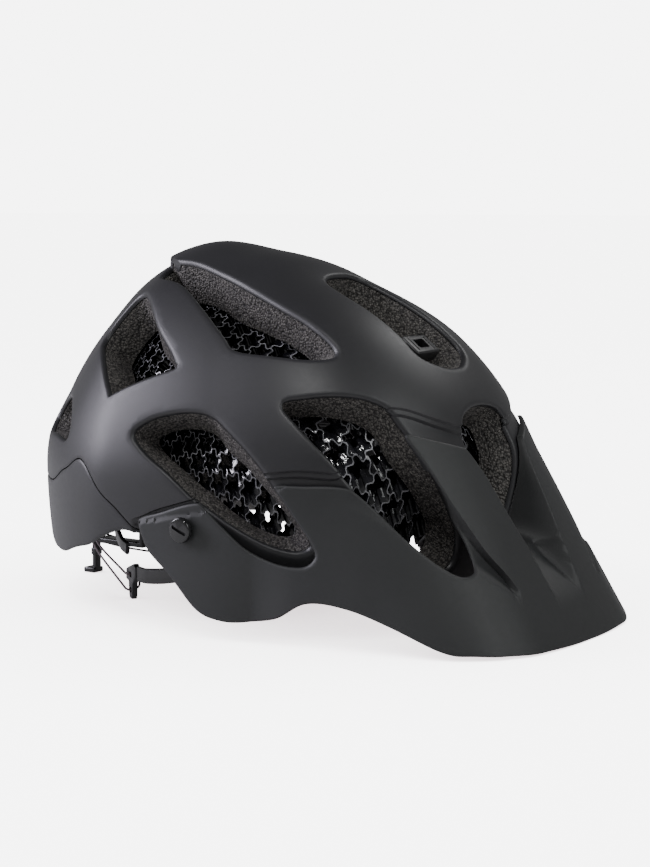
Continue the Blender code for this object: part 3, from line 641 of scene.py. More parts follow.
def spread(tree, value, low, high):
    node = tree.nodes.new("ShaderNodeMapRange")
    node.inputs["To Min"].default_value = low
    node.inputs["To Max"].default_value = high
    tree.links.new(value, node.inputs["Value"])
    return node.outputs["Result"]


def gloss(tree, shader, value, low, high):
    """Varies the roughness between two values."""
    tree.links.new(spread(tree, value, low, high), shader.inputs["Roughness"])


def bump(tree, shader, height, strength, distance):
    node = tree.nodes.new("ShaderNodeBump")
    node.inputs["Strength"].default_value = strength
    node.inputs["Distance"].default_value = distance
    tree.links.new(height, node.inputs["Height"])
    tree.links.new(node.outputs["Normal"], shader.inputs["Normal"])


def moulded(name, dark, light, rough, grain, strength, coat=0.0, tone=28.0):
    """Moulded plastic: a soft drift of tone, a fine surface grain and uneven gloss."""
    made, tree, shader, where = new_material(name, dark, sum(rough) / 2, coat=coat)
    tint(tree, shader, noise(tree, where, tone, 2.0), [(0.3, dark), (0.7, light)])
    gloss(tree, shader, noise(tree, where, grain * 0.2, 3.0), *rough)
    bump(tree, shader, noise(tree, where, grain, 2.0, 0.6), strength, 0.0001)
    return made


SHELL = moulded("shell_matt", (0.016, 0.016, 0.0175), (0.019, 0.019, 0.021), (0.40, 0.48), 2400, 0.10)
VISOR = moulded("visor_matt", (0.017, 0.018, 0.0185), (0.020, 0.021, 0.0215), (0.50, 0.60), 1700, 0.22)
NYLON = moulded("nylon_satin", (0.012, 0.012, 0.0125), (0.018, 0.018, 0.019), (0.30, 0.42), 1300, 0.15)
GLOSS = moulded("cap_gloss", (0.008, 0.008, 0.0085), (0.011, 0.011, 0.0115), (0.16, 0.24), 900, 0.05, 0.3)
RUBBER = moulded("rubber_soft", (0.010, 0.010, 0.0105), (0.014, 0.014, 0.0145), (0.60, 0.75), 1500, 0.25)


def bead_foam():
    """Moulded bead foam: pale bead faces of differing tone with dark pits between them; the darkening
    towards the pits is painted shade.
    """
    made, tree, shader, where = new_material("bead_foam", (0.05, 0.047, 0.045), 0.75)
    bead = cells(tree, where, 900)
    grey = tree.nodes.new("ShaderNodeSeparateColor")
    tree.links.new(bead.outputs["Color"], grey.inputs["Color"])
    # Each bead's colour falls from its middle to near black at its edge: painted shade in the pits between
    # beads.
    face = ramp(tree, bead.outputs["Distance"], [
        (0.0, (0.125, 0.118, 0.112)), (0.45, (0.090, 0.085, 0.080)), (0.72, (0.022, 0.020, 0.019)),
    ])
    mix = tree.nodes.new("ShaderNodeMix")
    mix.data_type = "RGBA"
    mix.blend_type = "MULTIPLY"
    mix.inputs["Factor"].default_value = 1.0
    tree.links.new(face, mix.inputs["A"])
    shade = ramp(tree, grey.outputs["Red"], [(0.0, (0.45, 0.45, 0.45)), (1.0, (1.5, 1.48, 1.45))])
    tree.links.new(shade, mix.inputs["B"])
    tree.links.new(mix.outputs["Result"], shader.inputs["Base Color"])
    lift = math_node(tree, "MULTIPLY", bead.outputs["Distance"], -1.0)
    bump(tree, shader, lift, 0.7, 0.0012)
    return made


def cell_gloss(name, dark, light):
    """Glossy extruded cell walls with a slightly uneven, drawn surface."""
    made, tree, shader, where = new_material(name, dark, 0.14, coat=0.5)
    tint(tree, shader, noise(tree, where, 160, 2.0), [(0.35, dark), (0.7, light)])
    gloss(tree, shader, noise(tree, where, 420, 2.0), 0.06, 0.2)
    bump(tree, shader, noise(tree, where, 260, 2.0), 0.6, 0.0008)
    return made


def knit(name, dark, light, pitch):
    """Brushed knit: rows of small loops with a soft pile."""
    made, tree, shader, where = new_material(name, dark, 0.95, sheen=0.35)
    loops = cells(tree, where, 1.0 / (pitch * MM), 0.35)
    tint(tree, shader, loops.outputs["Distance"], [(0.1, light), (0.65, dark)])
    height = math_node(tree, "MULTIPLY", loops.outputs["Distance"], -1.0)
    fluff = math_node(tree, "MULTIPLY", noise(tree, where, 1800, 4.0), 0.8)
    bump(tree, shader, math_node(tree, "ADD", height, fluff), 0.6, 0.0005)
    return made


def webbing():
    """Woven strap: ribs across the strap on a fine warp, from the strap's own length and width."""
    made, tree, shader, where = new_material("webbing", (0.012, 0.012, 0.013), 0.8, sheen=0.2)
    uv = tree.nodes.new("ShaderNodeUVMap")
    uv.uv_map = "weave"
    split = tree.nodes.new("ShaderNodeSeparateXYZ")
    tree.links.new(uv.outputs["UV"], split.inputs["Vector"])
    warp = math_node(tree, "SINE", math_node(tree, "MULTIPLY", split.outputs["X"], 2 * math.pi / 0.9), 0.0)
    weft = math_node(tree, "SINE", math_node(tree, "MULTIPLY", split.outputs["Y"], 2 * math.pi / 1.3), 0.0)
    over = math_node(tree, "MULTIPLY", warp, weft)
    height = math_node(tree, "ADD", over, math_node(tree, "MULTIPLY", noise(tree, where, 2500, 3.0), 0.7))
    shades = [(0.2, (0.006, 0.006, 0.007)), (0.9, (0.024, 0.024, 0.026))]
    tint(tree, shader, spread(tree, over, 0.0, 1.0), shades)
    bump(tree, shader, height, 0.6, 0.0003)
    return made


def braid():
    """Round lace, braided fine enough to read as a twist of tone."""
    made, tree, shader, where = new_material("lace_braid", (0.05, 0.022, 0.03), 0.5, sheen=0.2)
    strand = cells(tree, where, 2600, 0.4)
    shades = [(0.1, (0.075, 0.032, 0.045)), (0.7, (0.015, 0.008, 0.010))]
    tint(tree, shader, strand.outputs["Distance"], shades)
    bump(tree, shader, strand.outputs["Distance"], 0.5, 0.0002)
    return made


def turned_steel():
    made, tree, shader, where = new_material("steel_turned", (0.56, 0.56, 0.58), 0.3, metallic=1.0)
    gloss(tree, shader, noise(tree, where, 900, 4.0), 0.2, 0.42)
    bump(tree, shader, noise(tree, where, 2200, 2.0), 0.1, 0.0001)
    return made


FOAM = bead_foam()
CELL = cell_gloss("cell_gloss", (0.004, 0.004, 0.005), (0.014, 0.014, 0.018))
# Lighter colour for the edge faces of the cell walls: a painted highlight standing in for glints along the
# glossy rims.
CELL_RIM_PAINTED_GLINT = cell_gloss("cell_rim_painted_glint", (0.07, 0.07, 0.076), (0.32, 0.32, 0.34))
PAD = knit("pad_knit", (0.010, 0.010, 0.011), (0.034, 0.034, 0.037), 0.9)
WEBBING = webbing()
LACE = braid()
STEEL = turned_steel()

# ---------------------------------------------------------------- shells

sides = [REAR_TOP_VENT, UPPER_REAR_VENT, SMALL_REAR_VENT, SIDE_VENT, FRONT_VENT]
vents = [closed_half(CROWN_SLOT), closed_half(MIDDLE_VENT)] + sides + [mirrored(v) for v in sides]
FINE = 0.8
GRID = 1.5
vent_loops = [map_loop(v, FINE) for v in vents]
lower_loop = map_loop(closed_half(LOWER_EDGE), 1.2)
chevron_line = resample(to_map(*np.array(CHEVRON, float).T), 1.2, closed=False)
other_line = chevron_line * [-1, 1]
for line in (chevron_line, other_line):
    lower_loop[np.argmin(np.linalg.norm(lower_loop - line[0], axis=1))] = line[0]
whole_line = np.vstack([chevron_line, other_line[::-1][1:]])


def edge_ring(loop, distance):
    """A closed line beside a loop, to carry the shape of its edge."""
    moved = outwards(loop, distance)
    return np.vstack([moved, moved[:1]])


RINGS = (0.2, 0.5, 0.9, 1.35)
GROOVE = 0.2
ring_lines = [edge_ring(loop, width) for loop in vent_loops for width in RINGS]
for width in RINGS:
    ring_lines.append(edge_ring(lower_loop, -width))
    ring_lines += [pushed(whole_line, width, False)[2:-2], pushed(whole_line, -width, False)[2:-2]]
step_around = np.arange(-81, 81.5, 0.9)
for offset in (-0.65, -0.5, -0.3, -0.1, 0.05, 0.55, 0.7, 0.95, 1.2, 1.35):
    ring_lines.append(to_map(step_around, recess_edge(step_around) + offset))
tail_across = np.arange(-14.0, 14.5, 0.7)
tail_back = crown_tail(np.abs(tail_across))
for offset in (-0.6, -0.3, 0.0, 0.35, 0.7, 1.0):
    ring_lines.append(np.stack([tail_across, tail_back + offset], axis=-1))

shell_flat, shell_faces = triangulate(lower_loop, vent_loops, GRID, [whole_line, *ring_lines])
# The lower rear shell is what lies outside the joint line
lower_region = np.vstack([whole_line, 1.35 * whole_line[::-1]])
is_lower = inside(shell_flat[shell_faces].mean(axis=1), lower_region)
on_line = nearest(shell_flat, densified(whole_line, False)) < 0.02

vent_edges = np.vstack([surface(densified(loop), shell_radius) for loop in vent_loops])
line_edge = surface(densified(whole_line, False), shell_radius)
rim_edge = surface(densified(lower_loop), shell_radius)


def build_shell(name, faces, groove_sign, node):
    """A shell skin with rolled rims, its joint edge drawn back from the groove."""
    used, local = compact(shell_flat, faces)
    flat = shell_flat[used].copy()
    on_groove = on_line[used]
    share = 1 + groove_sign * np.where(on_groove, GROOVE / np.maximum(np.hypot(*flat.T), 1e-6), 0.0)
    flat *= share[:, None]
    around, down = from_map(flat)
    radius = shell_radius(around, down)
    outer = place(around, down, radius)
    drop = lip(nearest(outer, vent_edges))
    shallow = roll(nearest(outer, np.vstack([line_edge, rim_edge])), 1.5, 0.8)
    outer = place(around, down, radius - np.maximum(drop, shallow))
    inner = place(around, down, radius - SHELL_THICKNESS - 0.55 * drop)
    points, solid = sheet_mesh(flat, local, outer, inner, 2)
    dress(make_object(name, points, solid, SHELL, 40), "helmet", "shell_black", node)


build_shell("outer_shell_skin", shell_faces[~is_lower], -1, "outer_shell")
build_shell("lower_rear_skin", shell_faces[is_lower], 1, "lower_rear_shell")

# ---------------------------------------------------------------- foam liner

FOAM_TAPER = 2.7
LOW_VENT_LEAN = (0.4, -1.0)
foam_loops = []
for loop in vent_loops:
    middle = loop.mean(axis=0)
    reach = middle - loop
    length = np.linalg.norm(reach, axis=1)
    lean = np.zeros(2)
    if abs(middle[0]) > 10 and middle[1] < -15:
        lean = np.array([LOW_VENT_LEAN[0] * np.sign(middle[0]), LOW_VENT_LEAN[1]])
    foam_loops.append(loop + reach * np.minimum(FOAM_TAPER / length, 0.36)[:, None] + lean)
foam_flat, foam_faces = triangulate(lower_loop, vent_loops, GRID * 1.3)
used, foam_faces = compact(foam_flat, foam_faces)
foam_flat = foam_flat[used]
inner_flat = foam_flat.copy()
for loop, low_loop in zip(vent_loops, foam_loops):
    tree = kdtree.KDTree(len(loop))
    for i, p in enumerate(loop):
        tree.insert((*p, 0.0), i)
    tree.balance()
    for i, p in enumerate(foam_flat):
        hit = tree.find((*p, 0.0))
        if hit[2] < 0.01:
            inner_flat[i] = low_loop[hit[1]]
around, down = from_map(foam_flat)
radius = liner_outer(around, down)
distance = nearest(place(around, down, radius), vent_edges)
foam_outer = place(around, down, radius - 0.9 * lip(np.maximum(distance - 1.6, 0)))
around, down = from_map(inner_flat)
foam_inner = place(around, down, liner_inner(around, down))
points, skin = sheet_mesh(foam_flat, foam_faces, foam_outer, foam_inner, 6)
dress(make_object("foam_liner_beads", points, skin, FOAM, 50), "helmet", "foam_grey", "foam_liner")

# ---------------------------------------------------------------- honeycomb insert


def honeycomb(name, region, pitch, wall, levels, sway, wave, look, painted_glint_look):
    """Open cells through the insert's thickness, each wall waved along its edge and folded going in; the
    walls' edge faces take a lighter material, a painted highlight.
    """
    side = pitch / math.sqrt(3)
    turns = np.arange(6) * math.pi / 3
    corners = side * np.stack([np.sin(turns), np.cos(turns)], axis=-1)
    offsets = [(pitch, 0.0), (pitch / 2, -1.5 * side), (-pitch / 2, -1.5 * side)]
    offsets += [(-x, -y) for x, y in offsets]
    # Edge k joins corner k to corner k + 1; edge_facing[k] is the neighbour that it faces
    rows = int(110 / (1.5 * side)) + 1
    columns = int(110 / pitch) + 1
    centres = {}
    for j in range(-rows, rows + 1):
        for i in range(-columns, columns + 1):
            centres[(i, j)] = np.array([(i + 0.5 * (j % 2)) * pitch, j * 1.5 * side])
    keys = list(centres)
    within = inside(np.array([centres[k] for k in keys]), region)
    kept = {k for k, ok in zip(keys, within) if ok}

    def neighbour(key, edge):
        i, j = key
        odd = j % 2
        step = [
            (1, 0), (odd, -1), (odd - 1, -1), (-1, 0), (odd - 1, 1), (odd, 1),
        ][edge]
        return (i + step[0], j + step[1])

    edge_facing = []
    for k in range(6):
        normal = corners[k] + corners[(k + 1) % 6]
        edge_facing.append(int(np.argmax([np.dot(normal, o) for o in offsets])))
    parts = 6
    points = []
    faces = []
    painted_glint_faces = set()
    index = {}

    def corner_level(where, depth_share):
        """A map point, swayed sideways as it goes in."""
        t = depth_share * levels
        fold = sway * (1 - abs((t % 2) - 1) * 2)
        return where + np.array([0.35 * fold, fold])

    def add(where, level, tag):
        label = (tag, level)
        if label not in index:
            index[label] = len(points)
            share = level / levels
            points.append((*corner_level(where, share), share))
        return index[label]

    inset = wall / (pitch / 2)
    for key in sorted(kept):
        centre = centres[key]
        for edge in range(6):
            p = corners[edge]
            q = corners[(edge + 1) % 6]
            line = []
            far = []
            normal = (p + q) / np.linalg.norm(p + q)
            for s in range(parts + 1):
                t = s / parts
                base = p * (1 - t) + q * t + normal * wave * math.sin(2 * math.pi * t)
                tag = (key, edge, s) if s < parts else (key, (edge + 1) % 6, 0)
                line.append((centre + base * (1 - inset), tag))
                middle_tag = tuple(np.round(centre + base, 3))
                far.append((centre + base, ("rim", middle_tag)))
            for level in range(levels):
                for (w0, t0), (w1, t1) in zip(line, line[1:]):
                    low = (add(w0, level, t0), add(w0, level + 1, t0))
                    faces.append((*low, add(w1, level + 1, t1), add(w1, level, t1)))
            # Edge faces at the front and back of each wall take the second material, a painted highlight for
            # glints.
            for level in (0, levels):
                for (w0, t0), (w1, t1), (f0, g0), (f1, g1) in zip(line, line[1:], far, far[1:]):
                    quad = (add(w0, level, t0), add(w1, level, t1), add(f1, level, g1), add(f0, level, g0))
                    painted_glint_faces.add(len(faces))
                    faces.append(quad if level == 0 else quad[::-1])
            if neighbour(key, edge_facing[edge]) not in kept:
                for level in range(levels):
                    for (f0, g0), (f1, g1) in zip(far, far[1:]):
                        low = (add(f0, level, g0), add(f1, level, g1))
                        faces.append((*low, add(f1, level + 1, g1), add(f0, level + 1, g0)))
    points = np.array(points)
    a, d = from_map(points[:, :2])
    share = points[:, 2]
    radius = cell_outer(a, d) * (1 - share) + cell_inner(a, d) * share
    return make_object(name, place(a, d, radius), faces, look, 40, painted_glint_look, painted_glint_faces)


cell_loop = map_loop(closed_half(CELL_EDGE), 2.0)
comb = honeycomb(
    "honeycomb_insert", outwards(cell_loop, 0.8), pitch=6.8, wall=0.2, levels=3, sway=1.3, wave=0.8,
    look=CELL, painted_glint_look=CELL_RIM_PAINTED_GLINT,
)
dress(comb, "helmet", "cell_black", "cell_insert")

# ---------------------------------------------------------------- visor

VISOR_GRID = 0.62
visor_loop = map_loop(closed_half(VISOR_EDGE), VISOR_GRID * 0.8)
visor_lines = []
for width in (0.1, 0.25, 0.45, 0.6):
    visor_lines.append(edge_ring(visor_loop, -width))
crease_down = np.arange(88.5, 103.2, 0.5)
for side in (-1, 1):
    for offset in (0.0, 0.3, 0.6, 0.9):
        visor_lines.append(to_map(side * (finger_crease(crease_down) + offset), crease_down))
visor_flat, visor_faces = triangulate(visor_loop, [], VISOR_GRID, visor_lines)
used, visor_faces = compact(visor_flat, visor_faces)
visor_flat = visor_flat[used]
around, down = from_map(visor_flat)
radius = visor_radius(around, down)
outer = place(around, down, radius)
distance = nearest(outer, surface(densified(visor_loop), visor_radius))
outer = place(around, down, radius - roll(distance, 1.5, 0.9))
edge_gap = nearest(visor_flat, densified(visor_loop))
reach = shell_radius(around, down) + 0.8
is_skirt = (edge_gap < 0.5) & (np.abs(around) < 20.9) & (down < 100.5)
is_skirt &= (np.abs(around) < 15.0) | (down < 86)
under = radius - VISOR_THICKNESS + roll(distance, 1.2, 0.6)
inner = place(around, down, np.where(is_skirt, np.minimum(under, reach), under))
points, skin = sheet_mesh(visor_flat, visor_faces, outer, inner, 2)
dress(make_object("visor_peak", points, skin, VISOR, 40), "visor", "visor_black", "visor")

# ---------------------------------------------------------------- helpers for the fittings

def form_frame(around, down, radius_function):
    """Matrix in millimetres: Z points out of the form, X runs around it, Y runs up it."""
    origin, beside, above = (
        Vector(place(np.array([a]), np.array([d]), radius_function(np.array([a]), np.array([d])))[0])
        for a, d in ((around, down), (around + 1, down), (around, down - 1))
    )
    along = (beside - origin).normalized()
    out = along.cross(above - origin).normalized()
    up = out.cross(along)
    made = Matrix((along, up, out)).transposed().to_4x4()
    made.translation = origin
    return made


def side_x(radius_function, y, z):
    """Distance from the middle plane to a form surface, beside the point y, z."""
    low, high = 60.0, 140.0
    for _ in range(40):
        x = (low + high) / 2
        point = Vector((-x, y, z)) - CENTRE
        around = math.degrees(math.atan2(point.x, -point.y))
        down = math.degrees(math.acos(point.z / point.length))
        if point.length < float(radius_function(np.array([around]), np.array([down]))[0]):
            low = x
        else:
            high = x
    return low


def solid(name, build, look, turn=None, smooth=35.0):
    """A mesh that build() makes in millimetres, turned by a matrix and taken to the frame."""
    tidy = bmesh.new()
    weave = tidy.loops.layers.uv.new("weave")
    build(tidy, weave)
    if turn is not None:
        bmesh.ops.transform(tidy, matrix=turn, verts=tidy.verts)
    bmesh.ops.translate(tidy, vec=(0, SHIFT_Y, 0), verts=tidy.verts)
    bmesh.ops.scale(tidy, vec=(MM, MM, MM), verts=tidy.verts)
    bmesh.ops.recalc_face_normals(tidy, faces=tidy.faces)
    mesh = bpy.data.meshes.new(name)
    tidy.to_mesh(mesh)
    tidy.free()
    return finished(name, mesh, look, smooth)


def block(name, centre, size, look, turn=None, edge=0.6, segments=3):
    """A box with rounded edges."""
    def build(tidy, weave):
        bmesh.ops.create_cube(tidy, size=1.0)
        bmesh.ops.scale(tidy, vec=size, verts=tidy.verts)
        bmesh.ops.translate(tidy, vec=centre, verts=tidy.verts)
        if edge:
            bmesh.ops.bevel(
                tidy, geom=list(tidy.edges), offset=edge, segments=segments, affect="EDGES", profile=0.5
            )
    return solid(name, build, look, turn)


def turned(name, profile, start, direction, look, sides=64, ribs=0, rib_depth=0.0):
    """A solid of revolution from (radius, height) points; ribs flute its widest part."""
    turn = Vector(direction).to_track_quat("Z", "Y").to_matrix().to_4x4()
    turn.translation = Vector(start)
    widest = max(p[0] for p in profile)

    def build(tidy, weave):
        rings = []
        for radius, height in profile:
            if radius < 1e-6:
                rings.append([tidy.verts.new((0, 0, height))])
                continue
            share = max(0.0, (radius / widest - 0.9) / 0.1)
            ring = []
            for k in range(sides):
                t = 2 * math.pi * k / sides
                r = radius - rib_depth * share * (0.5 + 0.5 * math.cos(ribs * t)) ** 3 if ribs else radius
                ring.append(tidy.verts.new((r * math.cos(t), r * math.sin(t), height)))
            rings.append(ring)
        for low, high in zip(rings, rings[1:]):
            for k in range(sides):
                n = (k + 1) % sides
                corners = [low[k % len(low)], low[n % len(low)], high[n % len(high)], high[k % len(high)]]
                unique = list(dict.fromkeys(corners))
                if len(unique) > 2:
                    tidy.faces.new(unique)
    return solid(name, build, look, turn, 40)


def rounded_profile(points, radius, steps=4):
    """The profile with every inner point replaced by a small arc."""
    out = [points[0]]
    for before, here, after in zip(points, points[1:], points[2:]):
        a = Vector(before) - Vector(here)
        b = Vector(after) - Vector(here)
        cut = min(radius, 0.45 * a.length, 0.45 * b.length)
        start = Vector(here) + a.normalized() * cut
        end = Vector(here) + b.normalized() * cut
        for k in range(steps + 1):
            t = k / steps
            p = start * (1 - t) ** 2 + Vector(here) * 2 * t * (1 - t) + end * t * t
            out.append((p.x, p.y))
    return out + [points[-1]]


def plate(name, outline, thickness, look, turn, edge=0.3):
    """An outline in the matrix's XY plane, thickened along its Z, with eased edges."""
    def build(tidy, weave):
        face = tidy.faces.new([tidy.verts.new((x, y, -thickness / 2)) for x, y in outline])
        grown = bmesh.ops.extrude_face_region(tidy, geom=[face])
        moved = [v for v in grown["geom"] if isinstance(v, bmesh.types.BMVert)]
        bmesh.ops.translate(tidy, vec=(0, 0, thickness), verts=moved)
        bmesh.ops.bevel(tidy, geom=list(tidy.edges), offset=edge, segments=2, affect="EDGES", profile=0.5)
    return solid(name, build, look, turn)


def curve_points(points, steps):
    """Catmull-Rom curve through the route's points."""
    p = [Vector(q) for q in points]
    p = [2 * p[0] - p[1], *p, 2 * p[-1] - p[-2]]
    out = []
    for i in range(1, len(p) - 2):
        out += [catmull(*p[i - 1:i + 3], s / steps) for s in range(steps)]
    return out + [p[-2]]


def ribbon(name, route, wide_start, wide_end, width, thickness, look, steps=12):
    """A flat band with rounded edges along a route; its width turns evenly between two directions."""
    line = curve_points(route, steps)
    section = []
    for corner, turn_from in (((1, -1), -90), ((1, 1), 0), ((-1, 1), 90), ((-1, -1), 180)):
        r = thickness * 0.42
        cx = corner[0] * (width / 2 - r)
        cy = corner[1] * (thickness / 2 - r)
        for k in range(4):
            t = math.radians(turn_from + 30 * k)
            section.append((cx + r * math.cos(t), cy + r * math.sin(t)))
    length = [0.0]
    for p, q in zip(line, line[1:]):
        length.append(length[-1] + (q - p).length)

    def build(tidy, weave):
        rings = []
        for i, point in enumerate(line):
            ahead = (line[min(i + 1, len(line) - 1)] - line[max(i - 1, 0)]).normalized()
            wide = Vector(wide_start).lerp(Vector(wide_end), i / (len(line) - 1))
            wide = (wide - ahead * wide.dot(ahead)).normalized()
            thin = ahead.cross(wide)
            rings.append([tidy.verts.new(point + wide * w + thin * h) for w, h in section])
        count = len(section)
        for i, (low, high) in enumerate(zip(rings, rings[1:])):
            for k in range(count):
                n = (k + 1) % count
                face = tidy.faces.new((low[k], low[n], high[n], high[k]))
                for loop, (w, along) in zip(face.loops, ((k, i), (n, i), (n, i + 1), (k, i + 1))):
                    loop[weave].uv = (section[w][0], length[along])
        tidy.faces.new(rings[0])
        tidy.faces.new(rings[-1][::-1])
    return solid(name, build, look, None, 60)


def carve(made, *cutters, operation="DIFFERENCE"):
    """Cuts the cutters from the piece, or joins them to it, and removes them."""
    for cutter in cutters:
        modifier = made.modifiers.new("cut", "BOOLEAN")
        modifier.operation = operation
        modifier.solver = "EXACT"
        modifier.object = cutter
    baked(made)
    for cutter in cutters:
        bpy.data.objects.remove(cutter)
    return made


def ease(made, width):
    """Rounds the sharp edges with a bevel modifier."""
    bevel = made.modifiers.new("ease", "BEVEL")
    bevel.width = width * MM
    bevel.segments = 2
    bevel.limit_method = "ANGLE"
    bevel.angle_limit = math.radians(35)
    bevel.harden_normals = True
    return made


def keep_node(name, look, width=0.35):
    """Keeps a CAD node's shape, with its edges eased and a finished material."""
    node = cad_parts[name]
    node.data.materials.clear()
    node.data.materials.append(look)
    weld = node.modifiers.new("weld", "WELD")
    weld.merge_threshold = 0.00001
    ease(node, width)


# ---------------------------------------------------------------- visor screws

SLOT_TILT = math.radians(23)
shell_x = side_x(shell_radius, PIVOT[1], PIVOT[2])
visor_x = max(
    side_x(visor_radius, PIVOT[1] + 6 * math.cos(t), PIVOT[2] + 6 * math.sin(t))
    for t in np.linspace(0, 2 * math.pi, 12)
)
for side, label in RIGHT_AND_LEFT:
    base = visor_x + 0.1
    neck = base - shell_x + 7.0
    head = [(2.4, 0.0), (6.0, 0.0), (6.25, 1.0), (5.8, 2.9), (4.6, 3.1), (0.0, 3.5)]
    rim = rounded_profile([(r, neck + h) for r, h in head], 0.7)
    screw = turned(
        "visor_screw_cap_" + label, [(0.0, 0.0), (2.4, 0.0), *rim], (side * (shell_x - 7.0), *PIVOT[1:]),
        (side, 0, 0), GLOSS, 72,
    )
    slot_turn = Matrix.Translation((side * (base + 3.4), PIVOT[1], PIVOT[2]))
    slot_turn = slot_turn @ Matrix.Rotation(-SLOT_TILT, 4, "X").inverted()
    carve(screw, block("slot_cutter", (0, 0, 0), (3.4, 8.8, 1.6), GLOSS, slot_turn, 0.5))
    screw.data.shade_smooth()
    screw.data.set_sharp_from_angle(angle=math.radians(40))
    dress(ease(screw, 0.12), "visor_screw_" + label, "gloss_black", "visor_screw_" + label)
    keep_node("visor_socket_" + label, NYLON)

# ---------------------------------------------------------------- accessory socket in the crown slot

mount_turn = form_frame(0, 60.2, lambda a, d: form_radius(a, d) - 6.5)
mount = block("accessory_socket", (0, 0, -3.5), (21, 13, 7), NYLON, mount_turn, 1.2, 4)
carve(
    mount,
    block("window_cutter", (0, 0, -4), (9, 6, 14), NYLON, mount_turn, 0.9),
    block("groove_cutter_a", (6.9, 0, 0), (0.7, 9, 1.0), NYLON, mount_turn, 0.1, 1),
    block("groove_cutter_b", (-6.9, 0, 0), (0.7, 9, 1.0), NYLON, mount_turn, 0.1, 1),
)
dress(ease(mount, 0.15), "helmet", "nylon_black", "accessory_mount_socket")

# ---------------------------------------------------------------- fit system at the back

DIAL_HEIGHT = 47.0
wing_line = [(20, 99.2, 38), (29, 95, 33), (38, 84, 27), (42.5, 76, 25)]
wings = [
    ribbon(
        "wing", [(side * x, y, z) for x, y, z in wing_line], (0, 0, 1), (0, 0, 1), 6.5, 2.2, NYLON, 8,
    )
    for side in (-1, 1)
]
housing = block("dial_cradle", (0, 98.5, 46.0), (46, 5, 25), NYLON, None, 2.0, 4)
carve(
    housing, block("bridge", (0, 115.8, 19.0), (9, 34.6, 3.0), NYLON, None, 0.8),
    block("leg", (0, 99.4, 26.5), (9, 3.0, 18.0), NYLON, None, 0.8), *wings, operation="UNION",
)
bore = [(0.0, 0.0), (7.0, 0.0), (7.0, 8.6), (2.9, 8.6), (2.9, 20.0), (0.0, 20.0)]
grip_cuts = [
    block("grip_cutter", (side * x, 101.2, 46.0), (1.2, 1.2, 15), NYLON, None, 0.3, 2)
    for side in (-1, 1) for x in (15.6, 18.2, 20.8)
]
carve(housing, turned("bore_cutter", bore, (0, 90, DIAL_HEIGHT), (0, 1, 0), NYLON, 48), *grip_cuts)
dress(ease(housing, 0.2), "cradle", "nylon_black", "dial_housing")

knob_rim = [(2.9, 0), (12, 0), (12.7, 0.9), (12.7, 7.2), (11.5, 8.5), (3.7, 8.5), (3.7, 6.6)]
knob = turned(
    "dial_grip", [(2.9, 3.0), *rounded_profile(knob_rim, 0.8), (1.5, 6.6), (1.5, 3.0), (2.9, 3.0)],
    (0, 101.5, DIAL_HEIGHT), (0, 1, 0), RUBBER, 216, 24, 0.8,
)
dress(knob, "dial", "rubber_black", "dial_knob")
keep_node("dial_spool", NYLON, 0.2)
keep_node("dial_screw", STEEL, 0.25)
keep_node("hanger_socket", NYLON, 0.4)

post = block("hanger_post", (0, 135, 21.0), (4.6, 2.8, 39.0), NYLON, None, 0.6)
carve(
    post, block("post_foot", (0, 137.5, 1.5), (8, 8, 3.0), NYLON, None, 0.9),
    block("post_collar", (0, 135, 12.0), (5.6, 3.8, 4.0), NYLON, None, 0.7), operation="UNION",
)
dress(ease(post, 0.15), "cradle", "nylon_black", "cradle_hanger")


GUIDE_PLACE = (-46.5, 69.0)
GUIDE_BACK = (0.588, 0.809)


def guide_point(side, back, out, height):
    """A point beside a lace guide: back along the head, out of the head, above the floor."""
    x = GUIDE_PLACE[0] + GUIDE_BACK[0] * back - GUIDE_BACK[1] * out
    y = GUIDE_PLACE[1] + GUIDE_BACK[1] * back + GUIDE_BACK[0] * out
    return (-side * x, y, height)


